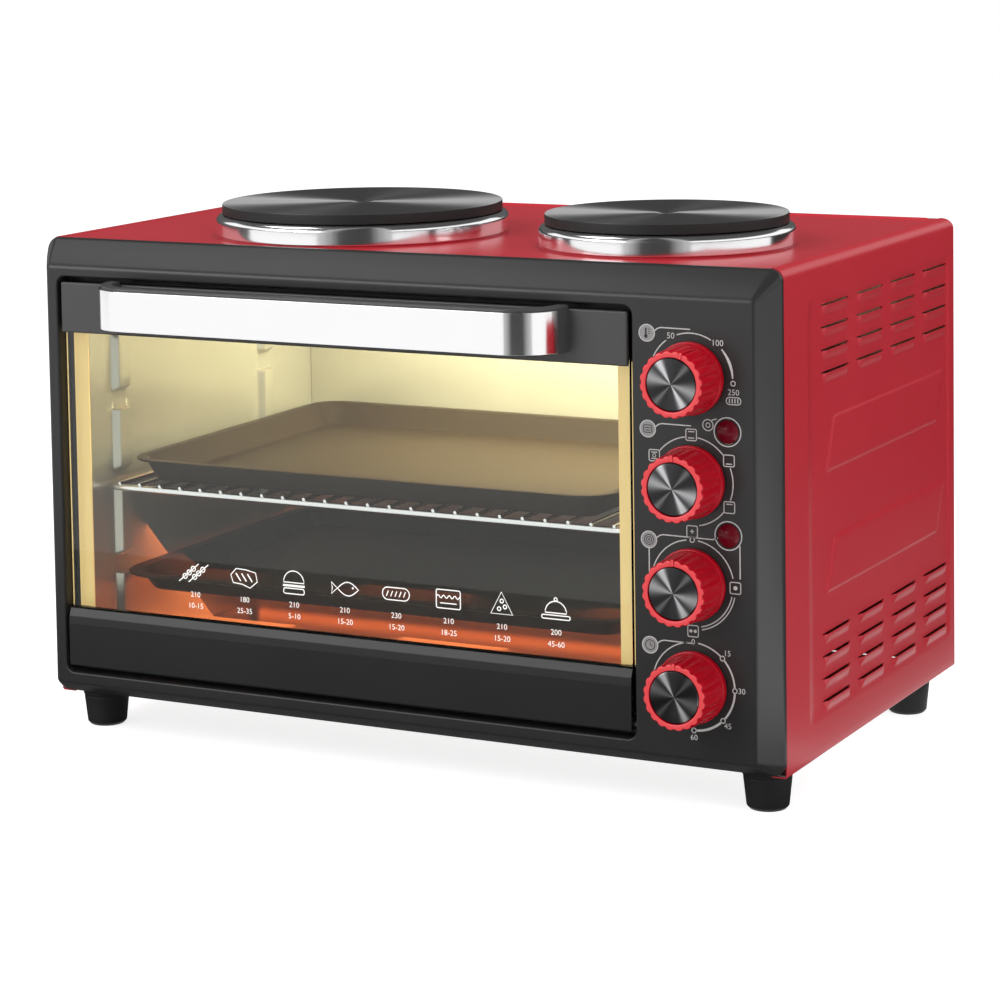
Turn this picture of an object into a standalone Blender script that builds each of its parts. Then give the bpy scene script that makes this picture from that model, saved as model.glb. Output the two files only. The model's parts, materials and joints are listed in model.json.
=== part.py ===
"""Counter-top electric oven with two iron hotplates, modelled piece by piece.

Units are metres and +Z is up. Inside the model X runs to the right, Y runs from the flat
front of the bezel to the back and Z starts at the bottom of the bezel. One empty then moves
all of it, so that the world origin is the middle of the footprint on the table.
"""
import math

import bmesh
import bpy
from mathutils import Matrix, Vector

# Clearances and overruns
GAP = 0.0003
RUNNING = 0.0001
OVERRUN = 0.002
MERGE = 0.00001
ROUND_STEPS = 24

# Casing
BODY_W = 0.520
BODY_H = 0.303
BODY_D = 0.321
SHEET = 0.0008
FOLD_R = 0.0075
SEAM_DROP = 0.006
CASING_RISE = 0.0005
CASING_LIP = 0.0015
FLANGE = 0.010
REAR_CORNER_R = 0.006

# Bezel
BEZEL_D = 0.020
BEZEL_WALL = 0.002
BEZEL_LAND = 0.003
SIDE_BEVEL = 0.0103
TOP_BEVEL = 0.0165
BOTTOM_BEVEL = 0.0097
RIM_R = 0.008
FACE_R = 0.0025
COLLAR_D = 0.012
COLLAR_WALL = 0.0015

# Door opening, as margins from the bezel's edges
OPEN_LEFT = 0.018
OPEN_BOTTOM = 0.0173
OPEN_TOP = 0.0233
PANEL_W = 0.089
OPEN_R = 0.006

# Door
DOOR_SIDE_GAP = 0.003
DOOR_BOTTOM_GAP = 0.0045
DOOR_TOP_GAP = 0.0037
GLASS_T = 0.004
GLASS_FRONT = 0.004
RAIL_T = 0.0037
LOWER_PANEL_H = 0.038
LOWER_PANEL_T = 0.0012
LOWER_PANEL_BEVEL = 0.005
RAIL_FOOT_H = 0.009
RAIL_FOOT_D = 0.009
UPPER_RAIL_H = 0.030
HINGE_RISE = 0.0037
HINGE_Y = 0.006
PIN_R = 0.002
PIN_IN = 0.010
PIN_OUT = 0.005

# Stay arms that guide the door and stop it when it lies level
STAY_R = 0.028
STAY_W = 0.006
STAY_T = 0.0016
STAY_TAB_H = 0.013
STAY_TAB_W = 0.008
STAY_TAB_T = 0.001
STAY_INSET = 0.008
STAY_START_DEG = 13.0
STAY_HOOK_DEG = 109.0
STAY_END_DEG = 116.0
STAY_HOOK = 0.003
STAY_STEPS = 10
STAY_SLOT = 0.002

# Handle
HANDLE_PLATE_H = 0.033
HANDLE_PLATE_T = 0.0035
HANDLE_REACH = 0.032
HANDLE_CURVE = 0.030
HANDLE_BAR_T = 0.008
HANDLE_BAR_RISE = 0.0065
HANDLE_BAR_H = 0.029
HANDLE_INSET = 0.0385
TRIM_T = 0.001
TRIM_H = 0.0257
TRIM_START = 0.012
ARC_STEPS = 6

# Cavity
CAVITY_SIDE = 0.015
CAVITY_LOW = 0.0047
CAVITY_HIGH = 0.0097
CAVITY_D = 0.283
FRAME_T = 0.001
FRAME_LAP = 0.008
FRAME_CLEAR = 0.0016
SHELF_HEIGHTS = (0.0800, 0.1370, 0.1900)
SHELF_SLOT = 0.010
PAD_OUT = 0.005
PAD_TAPER = 0.003
PAD_FRONT = 0.0385
PAD_FRONT_W = 0.0195
PAD_REAR = 0.222
PAD_REAR_W = 0.018
PAD_FOOT = 0.004
PAD_TOP = 0.238

# Heaters
HEATER_R = 0.0033
HEATER_BUSH_R = 0.0065
HEATER_BUSH_IN = 0.004
HEATER_BUSH_OUT = 0.010
HEATER_TAIL = 0.016
HEATER_PIN_R = 0.0015
HEATER_RISE = 0.011
HEATER_DROP = 0.016
HEATER_FRONT = 0.060
HEATER_REAR = 0.200

# Oven lamp on the right wall
LAMP_R = 0.014
LAMP_FLANGE = 0.004
LAMP_FLANGE_T = 0.0015
LAMP_DOME = 0.010
LAMP_BARREL = 0.006
LAMP_BACK = 0.110
LAMP_DROP = 0.042
SOCKET_R = 0.010
SOCKET_D = 0.016

# Rack and trays
FRAME_WIRE_R = 0.0022
CROSS_WIRE_R = 0.0012
WIRE_BITE = 0.0006
RACK_WALL_GAP = 0.001
RACK_FRONT = 0.016
RACK_BACK = 0.010
RACK_CORNER_R = 0.008
RACK_PITCH = 0.0156
TRAY_T = 0.0012
TRAY_FLARE = 0.008
UPPER_TRAY_W = 0.350
UPPER_TRAY_D = 0.262
UPPER_TRAY_H = 0.0158
UPPER_TRAY_RIM = 0.006
UPPER_TRAY_R = 0.024
UPPER_TRAY_FRONT = 0.011
LOWER_TRAY_H = 0.0125
LOWER_TRAY_RIM = 0.009
LOWER_TRAY_R = 0.030
LOWER_TRAY_D = 0.256
LOWER_TRAY_FRONT = 0.015
LOWER_TRAY_WALL_GAP = 0.0025

# Hotplates: radius of the iron disc and its place from the middle of the casing
HOTPLATE_LEFT_R = 0.0925
HOTPLATE_RIGHT_R = 0.0770
HOTPLATE_LEFT_X = -0.0785
HOTPLATE_RIGHT_X = 0.1415
HOTPLATE_Y = 0.118
SEAT_H = 0.006
SEAT_FLARE = 0.0035
RING_OUT = 0.0041
RING_H = 0.0077
RING_T = 0.0009
DISC_EDGE_H = 0.0067
DISC_BODY_INSET = 0.0065
DISC_HOLE_INSET = 0.0045
DISC_SINK = 0.0045
DISC_CHAMFER = 0.0008
DIMPLE_R = 0.009
DIMPLE_D = 0.0008
STUD_R = 0.003
STUD_L = 0.018
BRIDGE_DROP = 0.011
BRIDGE_W = 0.024
BRIDGE_FOOT = 0.010
BRIDGE_SLOPE = 0.010
BRIDGE_T = 0.0015
DISC_STEPS = 44

# Side panel pressings
CREASE_Y = 0.060
RECESS = 0.001
RECESS_LOW = 0.020
RECESS_HIGH = 0.281
RECESS_BACK = 0.009
RECESS_SLOPE = 0.003
LOUVRE_Y = 0.0827
LOUVRE_L = 0.0435
LOUVRE_PITCH_Y = 0.0600
LOUVRE_COLUMNS = 4
LOUVRE_ROWS = 4
LOUVRE_PITCH_Z = 0.0138
LOUVRE_H = 0.0055
LOUVRE_OUT = 0.0022
LOUVRE_SLIT = 0.0003
LOUVRE_UPPER_Z = 0.2735
LOUVRE_LOWER_Z = 0.0715
EMBOSS_Y = 0.086
EMBOSS_L = 0.202
EMBOSS_H = 0.035
EMBOSS_LEAN = 0.015
EMBOSS_RISE = 0.0009
EMBOSS_SLOPE = 0.003
EMBOSS_HEIGHTS = (0.0955, 0.1700)

# Top panel bead, back vents, base vents and cord bush
TOP_SINK = 0.001
BEAD_INSET = 0.006
BEAD_W = 0.006
BEAD_H = 0.0012
VENT_W = 0.004
VENT_H = 0.040
VENT_PITCH = 0.012
VENT_COUNT = 14
VENT_TOP = 0.030
VENT_LOW = 0.040
BASE_VENT_L = 0.060
BASE_VENT_PITCH = 0.014
BASE_VENT_COUNT = 10
BASE_VENT_Y = 0.110
BACK_INSET = 0.002
BUSH_R = 0.009
BUSH_BORE_R = 0.0042
BUSH_HEAD_R = 0.0125
BUSH_HEAD_T = 0.006
BUSH_TAIL = 0.004
BUSH_CHAMFER = 0.002
BUSH_IN = 0.060
BUSH_UP = 0.040

# Feet
FOOT_H = 0.0245
FOOT_TOP_R = 0.0157
FOOT_LOW_R = 0.0130
FOOT_ROUND = 0.0022
FOOT_SIDE = 0.021
FOOT_FRONT = 0.041
FOOT_BACK = 0.036

# Controls: the column of knobs on the panel, counted from the top
KNOB_EDGE = 0.051
KNOB_MIDDLE_Z = 0.1464
KNOB_PITCH = 0.0616
KNOB_NAMES = ("thermostat", "function", "hotplate", "timer")
KNOB_TURNS_DEG = (20.0, 0.0, 0.0, 0.0)
KNOB_L = 0.029
KNOB_CLEAR = 0.0008
KNOB_SKIRT_R = 0.0218
KNOB_SKIRT_L = 0.0042
KNOB_GRIP_R = 0.0210
KNOB_FRONT_R = 0.0199
KNOB_FLUTE = 0.0009
KNOB_FLUTES = 18
KNOB_RECESS_R = 0.0160
KNOB_RECESS_D = 0.0020
CAP_T = 0.0014
CAP_CHAMFER = 0.0004
POINTER_W = 0.0022
POINTER_RISE = 0.0006
POINTER_OUT = 0.0007
SHAFT_R = 0.003
SHAFT_IN_KNOB = 0.018
SHAFT_IN_SWITCH = 0.014
SWITCH_W = 0.034
SWITCH_D = 0.030
SWITCH_H = 0.036
SWITCH_CORNER = 0.004
SWITCH_NECK_R = 0.0055
SWITCH_NECK_L = 0.0015
LENS_R = 0.0070
LENS_HOLE_R = 0.0073
LENS_DOME = 0.003
LENS_TAIL = 0.012
LENS_TAIL_R = 0.0055
LENS_EDGE = 0.0278
LENS_SHARES = (0.5, 1.5)
LENS_DOME_DEG = (60, 30, 0)

# Places worked out from the sizes above
HALF_W = BODY_W / 2
CASING_TOP = BODY_H + CASING_RISE
CASING_FRONT = BEZEL_D + GAP
OPEN_X0 = -HALF_W + OPEN_LEFT
OPEN_X1 = HALF_W - PANEL_W
OPEN_Z0 = OPEN_BOTTOM
OPEN_Z1 = BODY_H - OPEN_TOP
DOOR_X0 = OPEN_X0 + DOOR_SIDE_GAP
DOOR_X1 = OPEN_X1 - DOOR_SIDE_GAP
DOOR_Z0 = OPEN_Z0 + DOOR_BOTTOM_GAP
DOOR_Z1 = OPEN_Z1 - DOOR_TOP_GAP
GLASS_BACK = GLASS_FRONT + GLASS_T
RAIL_FRONT = GLASS_BACK + GAP
DOOR_BACK = RAIL_FRONT + RAIL_T
HINGE_Z = DOOR_Z0 + HINGE_RISE
FRAME_FRONT = DOOR_BACK + FRAME_CLEAR
CAVITY_X0 = OPEN_X0 + CAVITY_SIDE
CAVITY_X1 = OPEN_X1 - CAVITY_SIDE
CAVITY_Z0 = OPEN_Z0 + CAVITY_LOW
CAVITY_Z1 = OPEN_Z1 - CAVITY_HIGH
CAVITY_Y0 = FRAME_FRONT + FRAME_T + GAP
CAVITY_Y1 = CAVITY_Y0 + CAVITY_D
TOP_Z = CASING_TOP - TOP_SINK
KNOB_X = HALF_W - KNOB_EDGE
LENS_X = HALF_W - LENS_EDGE
TRIM_FRONT = HANDLE_REACH + GAP + TRIM_T
FLOOR_DROP = CASING_LIP + GAP + FOOT_H
BACK_REACH = BODY_D - BACK_INSET + BUSH_HEAD_T
MIDDLE_Y = (BACK_REACH - TRIM_FRONT) / 2


def new_collection(name):
    """A collection linked to the scene."""
    collection = bpy.data.collections.new(name)
    bpy.context.scene.collection.children.link(collection)
    return collection


def make_material(name, colour, roughness, metallic, alpha=1.0):
    """A Principled material in one colour."""
    material = bpy.data.materials.new(name)
    material.use_nodes = True
    shader = material.node_tree.nodes["Principled BSDF"]
    shader.inputs["Base Color"].default_value = (*colour, 1.0)
    shader.inputs["Roughness"].default_value = roughness
    shader.inputs["Metallic"].default_value = metallic
    shader.inputs["Alpha"].default_value = alpha
    material.diffuse_color = (*colour, alpha)
    return material


def bmesh_to_mesh(bm, name):
    """Closes a bmesh into a mesh whose faces point outwards."""
    bmesh.ops.remove_doubles(bm, verts=bm.verts, dist=MERGE)
    bmesh.ops.recalc_face_normals(bm, faces=bm.faces)
    mesh = bpy.data.meshes.new(name)
    bm.to_mesh(mesh)
    bm.free()
    return mesh


def add_box(bm, low, high):
    """Adds a box between two corners."""
    low = Vector(low)
    high = Vector(high)
    matrix = Matrix.Translation((low + high) / 2) @ Matrix.Diagonal((*(high - low), 1.0))
    bmesh.ops.create_cube(bm, size=1.0, matrix=matrix)


def box_mesh(name, low, high):
    """One box as a mesh."""
    bm = bmesh.new()
    add_box(bm, low, high)
    return bmesh_to_mesh(bm, name)


def add_loft(bm, rings):
    """Joins rings of equal length and closes both ends."""
    loops = [[bm.verts.new(point) for point in ring] for ring in rings]
    count = len(loops[0])
    for lower, upper in zip(loops, loops[1:]):
        for index in range(count):
            after = (index + 1) % count
            bm.faces.new((lower[index], lower[after], upper[after], upper[index]))
    bm.faces.new(loops[0])
    bm.faces.new(loops[-1])


def loft_mesh(name, rings):
    """A closed loft as a mesh."""
    bm = bmesh.new()
    add_loft(bm, rings)
    return bmesh_to_mesh(bm, name)


def rounded_rectangle(u0, u1, v0, v1, radius, steps=4):
    """Points round a rectangle with round corners, anticlockwise."""
    corners = ((u1 - radius, v0 + radius, 270), (u1 - radius, v1 - radius, 0),
               (u0 + radius, v1 - radius, 90), (u0 + radius, v0 + radius, 180))
    points = []
    for centre_u, centre_v, start in corners:
        for step in range(steps + 1):
            angle = math.radians(start + 90 * step / steps)
            points.append((centre_u + radius * math.cos(angle), centre_v + radius * math.sin(angle)))
    return points


def arc(centre_u, centre_v, radius, start_deg, end_deg, steps):
    """Points along an arc, both ends included."""
    points = []
    for step in range(steps + 1):
        angle = math.radians(start_deg + (end_deg - start_deg) * step / steps)
        points.append((centre_u + radius * math.cos(angle), centre_v + radius * math.sin(angle)))
    return points


def sheet_outline(path, thickness):
    """Closed outline of a bent sheet: the path, and the path moved to its left side."""
    inner = []
    for index, point in enumerate(path):
        here = Vector(point)
        normals = []
        for first, second in ((index - 1, index), (index, index + 1)):
            if first >= 0 and second < len(path):
                along = (Vector(path[second]) - Vector(path[first])).normalized()
                normals.append(Vector((-along.y, along.x)))
        if len(normals) == 1:
            offset = normals[0] * thickness
        else:
            middle = (normals[0] + normals[1]).normalized()
            offset = middle * (thickness / middle.dot(normals[0]))
        inner.append(tuple(here + offset))
    return list(path) + inner[::-1]


PLANES = {
    "XY": Matrix(((1, 0, 0, 0), (0, 1, 0, 0), (0, 0, 1, 0), (0, 0, 0, 1))),
    "XZ": Matrix(((1, 0, 0, 0), (0, 0, 1, 0), (0, 1, 0, 0), (0, 0, 0, 1))),
    "YZ": Matrix(((0, 0, 1, 0), (1, 0, 0, 0), (0, 1, 0, 0), (0, 0, 0, 1))),
}


def outline_mesh(name, points, plane, low, high):
    """A flat outline in one plane, filled and extruded from low to high across it."""
    curve = bpy.data.curves.new(name, "CURVE")
    curve.dimensions = "2D"
    curve.fill_mode = "BOTH"
    curve.extrude = (high - low) / 2
    spline = curve.splines.new("POLY")
    spline.points.add(len(points) - 1)
    spline.use_cyclic_u = True
    for target, (u, v) in zip(spline.points, points):
        target.co = (u, v, 0, 1)
    guide = bpy.data.objects.new(name, curve)
    bpy.context.scene.collection.objects.link(guide)
    graph = bpy.context.evaluated_depsgraph_get()
    filled = bpy.data.meshes.new_from_object(guide.evaluated_get(graph))
    bm = bmesh.new()
    bm.from_mesh(filled)
    bmesh.ops.translate(bm, verts=bm.verts, vec=(0, 0, (low + high) / 2))
    bmesh.ops.transform(bm, verts=bm.verts, matrix=PLANES[plane])
    bpy.data.objects.remove(guide)
    bpy.data.curves.remove(curve)
    bpy.data.meshes.remove(filled)
    return bmesh_to_mesh(bm, name)


def tube_mesh(name, points, radius, cyclic):
    """A wire with round section along straight runs."""
    curve = bpy.data.curves.new(name, "CURVE")
    curve.dimensions = "3D"
    curve.bevel_depth = radius
    curve.bevel_resolution = 1
    curve.use_fill_caps = True
    spline = curve.splines.new("POLY")
    spline.points.add(len(points) - 1)
    spline.use_cyclic_u = cyclic
    for target, point in zip(spline.points, points):
        target.co = (*point, 1)
    guide = bpy.data.objects.new(name, curve)
    bpy.context.scene.collection.objects.link(guide)
    graph = bpy.context.evaluated_depsgraph_get()
    solid = bpy.data.meshes.new_from_object(guide.evaluated_get(graph))
    bm = bmesh.new()
    bm.from_mesh(solid)
    bpy.data.objects.remove(guide)
    bpy.data.curves.remove(curve)
    bpy.data.meshes.remove(solid)
    return bmesh_to_mesh(bm, name)


class Workshop:
    """Holds the collections and parents while the pieces are placed."""

    def __init__(self):
        self.pieces = new_collection("electric_oven")
        self.tools = new_collection("electric_oven_cutters")
        self.frame = self.add_empty("oven_frame", (0, -MIDDLE_Y, FLOOR_DROP), None)

    def add_empty(self, name, place, parent):
        """An empty that carries pieces."""
        empty = bpy.data.objects.new(name, None)
        self.pieces.objects.link(empty)
        empty.parent = parent
        empty.location = place
        return empty

    def add(self, name, mesh, material=None, place=(0, 0, 0), turn=(0, 0, 0), parent=None):
        """A piece, or a cutter when it has no material."""
        thing = bpy.data.objects.new(name, mesh)
        holder = self.pieces if material else self.tools
        holder.objects.link(thing)
        thing.parent = parent or self.frame
        thing.location = place
        thing.rotation_euler = turn
        if material:
            mesh.materials.append(material)
        else:
            thing.hide_render = True
            thing.display_type = "WIRE"
        return thing

    def turned(self, name, profile, material=None, place=(0, 0, 0), turn=(0, 0, 0),
               parent=None, steps=32, closed=False):
        """A turned piece: its profile at +X runs down the outer side."""
        mesh = bpy.data.meshes.new(name)
        edges = [(index, index + 1) for index in range(len(profile) - 1)]
        if closed:
            edges.append((len(profile) - 1, 0))
        mesh.from_pydata([(radius, 0, height) for radius, height in profile], edges, [])
        thing = self.add(name, mesh, material, place, turn, parent)
        screw = thing.modifiers.new("turn", "SCREW")
        screw.steps = steps
        screw.render_steps = steps
        screw.use_merge_vertices = True
        screw.merge_threshold = MERGE
        screw.use_normal_calculate = False
        screw.use_smooth_shade = True
        return thing


def combine(piece, operation, *others):
    """Adds one exact Boolean for each of the other objects."""
    for other in others:
        modifier = piece.modifiers.new(other.name, "BOOLEAN")
        modifier.operation = operation
        modifier.solver = "EXACT"
        modifier.object = other


def cut(piece, *others):
    """Cuts the others out of a piece."""
    combine(piece, "DIFFERENCE", *others)


def fuse(piece, *others):
    """Makes the others part of a piece."""
    combine(piece, "UNION", *others)


def ring_at(points, y):
    """Puts a flat outline in X and Z at one depth."""
    return [(u, y, v) for u, v in points]


def level_ring(points, z):
    """Puts a flat outline in X and Y at one height."""
    return [(u, v, z) for u, v in points]


TO_FRONT = (math.pi / 2, 0, 0)
TO_RIGHT = (0, math.pi / 2, 0)
TO_LEFT = (0, -math.pi / 2, 0)


def knob_heights():
    """Heights of the control shafts, spread evenly about the middle of the column."""
    middle = (len(KNOB_NAMES) - 1) / 2
    return [KNOB_MIDDLE_Z + KNOB_PITCH * (middle - index) for index in range(len(KNOB_NAMES))]


def lens_heights():
    """Heights of the two indicator lamps, between the knobs."""
    return [knob_heights()[0] - KNOB_PITCH * share for share in LENS_SHARES]


def bezel_rings(inset, front, back):
    """Rings of the bezel's outer form, moved in by a wall."""
    face = rounded_rectangle(-HALF_W + SIDE_BEVEL + inset / 2, HALF_W - SIDE_BEVEL - inset / 2,
                             BOTTOM_BEVEL + inset / 2, BODY_H - TOP_BEVEL - inset / 2, FACE_R)
    rim = rounded_rectangle(-HALF_W + inset, HALF_W - inset, inset, BODY_H - inset, RIM_R - inset)
    return [ring_at(face, front), ring_at(rim, BEZEL_D - BEZEL_LAND), ring_at(rim, back)]


def make_bezel(shop, paint):
    """Front bezel with the door opening, its collar and the holes for the controls."""
    bezel = shop.add("front_bezel", loft_mesh("front_bezel", bezel_rings(0, 0, BEZEL_D)), paint)
    hollow = loft_mesh("bezel_hollow", bezel_rings(BEZEL_WALL, BEZEL_WALL, BEZEL_D + OVERRUN))
    cut(bezel, shop.add("bezel_hollow", hollow))
    opening = rounded_rectangle(OPEN_X0, OPEN_X1, OPEN_Z0, OPEN_Z1, OPEN_R)
    block = rounded_rectangle(OPEN_X0 - COLLAR_WALL, OPEN_X1 + COLLAR_WALL, OPEN_Z0 - COLLAR_WALL,
                              OPEN_Z1 + COLLAR_WALL, OPEN_R + COLLAR_WALL)
    collar = loft_mesh("bezel_collar", [ring_at(block, BEZEL_WALL / 2), ring_at(block, COLLAR_D)])
    fuse(bezel, shop.add("bezel_collar", collar))
    hole = loft_mesh("bezel_opening", [ring_at(opening, -OVERRUN), ring_at(opening, COLLAR_D + OVERRUN)])
    cut(bezel, shop.add("bezel_opening", hole))
    hole_r = SHAFT_R + GAP
    bore = [(0, OVERRUN), (hole_r, OVERRUN), (hole_r, -BEZEL_WALL - OVERRUN), (0, -BEZEL_WALL - OVERRUN)]
    for name, height in zip(KNOB_NAMES, knob_heights()):
        place = (KNOB_X, 0, height)
        cut(bezel, shop.turned(name + "_shaft_hole", bore, place=place, turn=TO_FRONT, steps=ROUND_STEPS))
    seat = [(0, OVERRUN), (LENS_HOLE_R, OVERRUN), (LENS_HOLE_R, -BEZEL_WALL - OVERRUN),
            (0, -BEZEL_WALL - OVERRUN)]
    for index, height in enumerate(lens_heights()):
        place = (LENS_X, 0, height)
        cut(bezel, shop.turned(f"lens_hole_{index}", seat, place=place, turn=TO_FRONT, steps=24))
    reach = COLLAR_WALL + OVERRUN
    pin_bore = [(0, reach), (PIN_R + RUNNING, reach), (PIN_R + RUNNING, -OVERRUN), (0, -OVERRUN)]
    for name, x, turn in (("left", OPEN_X0, TO_LEFT), ("right", OPEN_X1, TO_RIGHT)):
        place = (x, HINGE_Y, HINGE_Z)
        cut(bezel, shop.turned("collar_pin_hole_" + name, pin_bore, place=place, turn=turn,
                               steps=ROUND_STEPS))


def side_path(sign):
    """Folded section of a side panel, from its foot flange up over the shoulder."""
    fold = SHEET * 2
    foot = arc(HALF_W - fold, -CASING_LIP + fold, fold, 270, 360, 3)
    shoulder = arc(HALF_W - FOLD_R, CASING_TOP - FOLD_R, FOLD_R, 0, 90, ARC_STEPS)
    path = [(HALF_W - FLANGE, -CASING_LIP)] + foot + shoulder
    path.append((HALF_W - FOLD_R, CASING_TOP - SEAM_DROP))
    return [(u * sign, v) for u, v in path]


def add_louvre_hoods(bm, sign, plane_x):
    """Wedge hoods that stand out of the side, wider at their upper edge."""
    for low_y, top_z in louvre_places():
        section = ((plane_x - SHEET, top_z - LOUVRE_H), (plane_x, top_z - LOUVRE_H),
                   (plane_x + LOUVRE_OUT, top_z - SHEET), (plane_x + LOUVRE_OUT, top_z),
                   (plane_x - SHEET, top_z))
        rings = [[(u * sign, y, v) for u, v in section] for y in (low_y, low_y + LOUVRE_L)]
        add_loft(bm, rings)


def add_louvre_slits(bm, sign, plane_x):
    """The hollow of each hood, open through the sheet and at the upper edge."""
    for low_y, top_z in louvre_places():
        back_x = plane_x - SHEET - OVERRUN
        section = ((back_x, top_z - LOUVRE_H + SHEET), (plane_x - SHEET, top_z - LOUVRE_H + SHEET),
                   (plane_x + LOUVRE_OUT - SHEET, top_z - SHEET),
                   (plane_x + LOUVRE_OUT - SHEET, top_z + LOUVRE_SLIT), (back_x, top_z + LOUVRE_SLIT))
        rings = [[(u * sign, y, v) for u, v in section]
                 for y in (low_y + SHEET, low_y + LOUVRE_L - SHEET)]
        add_loft(bm, rings)


def louvre_places():
    """Front edge and upper edge of every louvre."""
    places = []
    for start_z in (LOUVRE_UPPER_Z, LOUVRE_LOWER_Z):
        for row in range(LOUVRE_ROWS):
            for column in range(LOUVRE_COLUMNS):
                places.append((LOUVRE_Y + LOUVRE_PITCH_Y * column, start_z - LOUVRE_PITCH_Z * row))
    return places


def add_embosses(bm, sign, plane_x):
    """Two raised leaning fields between the louvre groups."""
    for low_z in EMBOSS_HEIGHTS:
        rings = []
        for x, inset in ((plane_x - SHEET / 2, 0), (plane_x, 0), (plane_x + EMBOSS_RISE, EMBOSS_SLOPE)):
            low = low_z + inset
            high = low_z + EMBOSS_H - inset
            near = EMBOSS_Y + inset
            far = EMBOSS_Y + EMBOSS_L - inset
            rings.append([(x * sign, near, low), (x * sign, far, low),
                          (x * sign, far + EMBOSS_LEAN, high), (x * sign, near + EMBOSS_LEAN, high)])
        add_loft(bm, rings)


def make_side_panel(shop, name, sign, paint):
    """Side panel: folded sheet, shallow pressed field, louvres and embossed fields."""
    plane_x = HALF_W - RECESS
    mesh = outline_mesh(name, sheet_outline(side_path(sign), SHEET * sign), "XZ", CASING_FRONT, BODY_D)
    panel = shop.add(name, mesh, paint)
    back_y = BODY_D - RECESS_BACK
    pad = box_mesh(name + "_pad", ((plane_x - SHEET) * sign, CREASE_Y, RECESS_LOW),
                   ((HALF_W - SHEET / 2) * sign, back_y, RECESS_HIGH))
    fuse(panel, shop.add(name + "_pad", pad))
    rings = []
    for x, inset in ((plane_x, RECESS_SLOPE), (HALF_W, SHEET), (HALF_W + OVERRUN, SHEET)):
        rings.append([(x * sign, CREASE_Y + inset, RECESS_LOW + inset),
                      (x * sign, back_y - inset, RECESS_LOW + inset),
                      (x * sign, back_y - inset, RECESS_HIGH - inset),
                      (x * sign, CREASE_Y + inset, RECESS_HIGH - inset)])
    cut(panel, shop.add(name + "_recess", loft_mesh(name + "_recess", rings)))
    raised = bmesh.new()
    add_louvre_hoods(raised, sign, plane_x)
    add_embosses(raised, sign, plane_x)
    fuse(panel, shop.add(name + "_raised", bmesh_to_mesh(raised, name + "_raised")))
    slits = bmesh.new()
    add_louvre_slits(slits, sign, plane_x)
    cut(panel, shop.add(name + "_slits", bmesh_to_mesh(slits, name + "_slits")))
    corner = rear_corner_outline()
    mesh = outline_mesh(name + "_corner", corner, "YZ", -HALF_W - OVERRUN, HALF_W + OVERRUN)
    cut(panel, shop.add(name + "_corner", mesh))


def rear_corner_outline():
    """What is left outside the round rear corner at the top of a side panel."""
    radius = REAR_CORNER_R
    round_edge = arc(BODY_D - radius, CASING_TOP - radius, radius, 0, 90, ARC_STEPS)
    return round_edge + [(BODY_D - radius, CASING_TOP + OVERRUN), (BODY_D + OVERRUN, CASING_TOP + OVERRUN),
                         (BODY_D + OVERRUN, CASING_TOP - radius)]


def hotplates():
    """Name, radius of the iron disc and place of each hotplate."""
    return (("left", HOTPLATE_LEFT_R, HOTPLATE_LEFT_X), ("right", HOTPLATE_RIGHT_R, HOTPLATE_RIGHT_X))


def make_top_panel(shop, paint):
    """Top panel with two pressed seats and a raised bead along the back."""
    half = HALF_W - FOLD_R - GAP
    mesh = box_mesh("top_panel", (-half, CASING_FRONT, TOP_Z - SHEET), (half, BODY_D - GAP, TOP_Z))
    top = shop.add("top_panel", mesh, paint)
    for name, radius, x in hotplates():
        outer = radius + RING_OUT
        place = (x, HOTPLATE_Y, TOP_Z)
        hole = [(0, OVERRUN), (outer, OVERRUN), (outer, -SHEET - OVERRUN), (0, -SHEET - OVERRUN)]
        cut(top, shop.turned("seat_hole_" + name, hole, place=place, steps=DISC_STEPS))
        inner = radius - DISC_HOLE_INSET
        crown = outer - SEAT_FLARE
        seat = [(inner, SEAT_H), (crown, SEAT_H), (outer + SHEET, 0), (outer + SHEET, -SHEET),
                (outer - SHEET, -SHEET), (crown - SHEET, SEAT_H - SHEET), (inner, SEAT_H - SHEET)]
        fuse(top, shop.turned("seat_" + name, seat, place=place, steps=DISC_STEPS, closed=True))
    rings = []
    for z, inset in ((TOP_Z - SHEET / 2, 0), (TOP_Z, 0), (TOP_Z + BEAD_H, BEAD_H)):
        rings.append(level_ring(((-half + BEAD_INSET + inset, BODY_D - BEAD_INSET - BEAD_W + inset),
                                 (half - BEAD_INSET - inset, BODY_D - BEAD_INSET - BEAD_W + inset),
                                 (half - BEAD_INSET - inset, BODY_D - BEAD_INSET - inset),
                                 (-half + BEAD_INSET + inset, BODY_D - BEAD_INSET - inset)), z))
    fuse(top, shop.add("top_bead", loft_mesh("top_bead", rings)))


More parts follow.
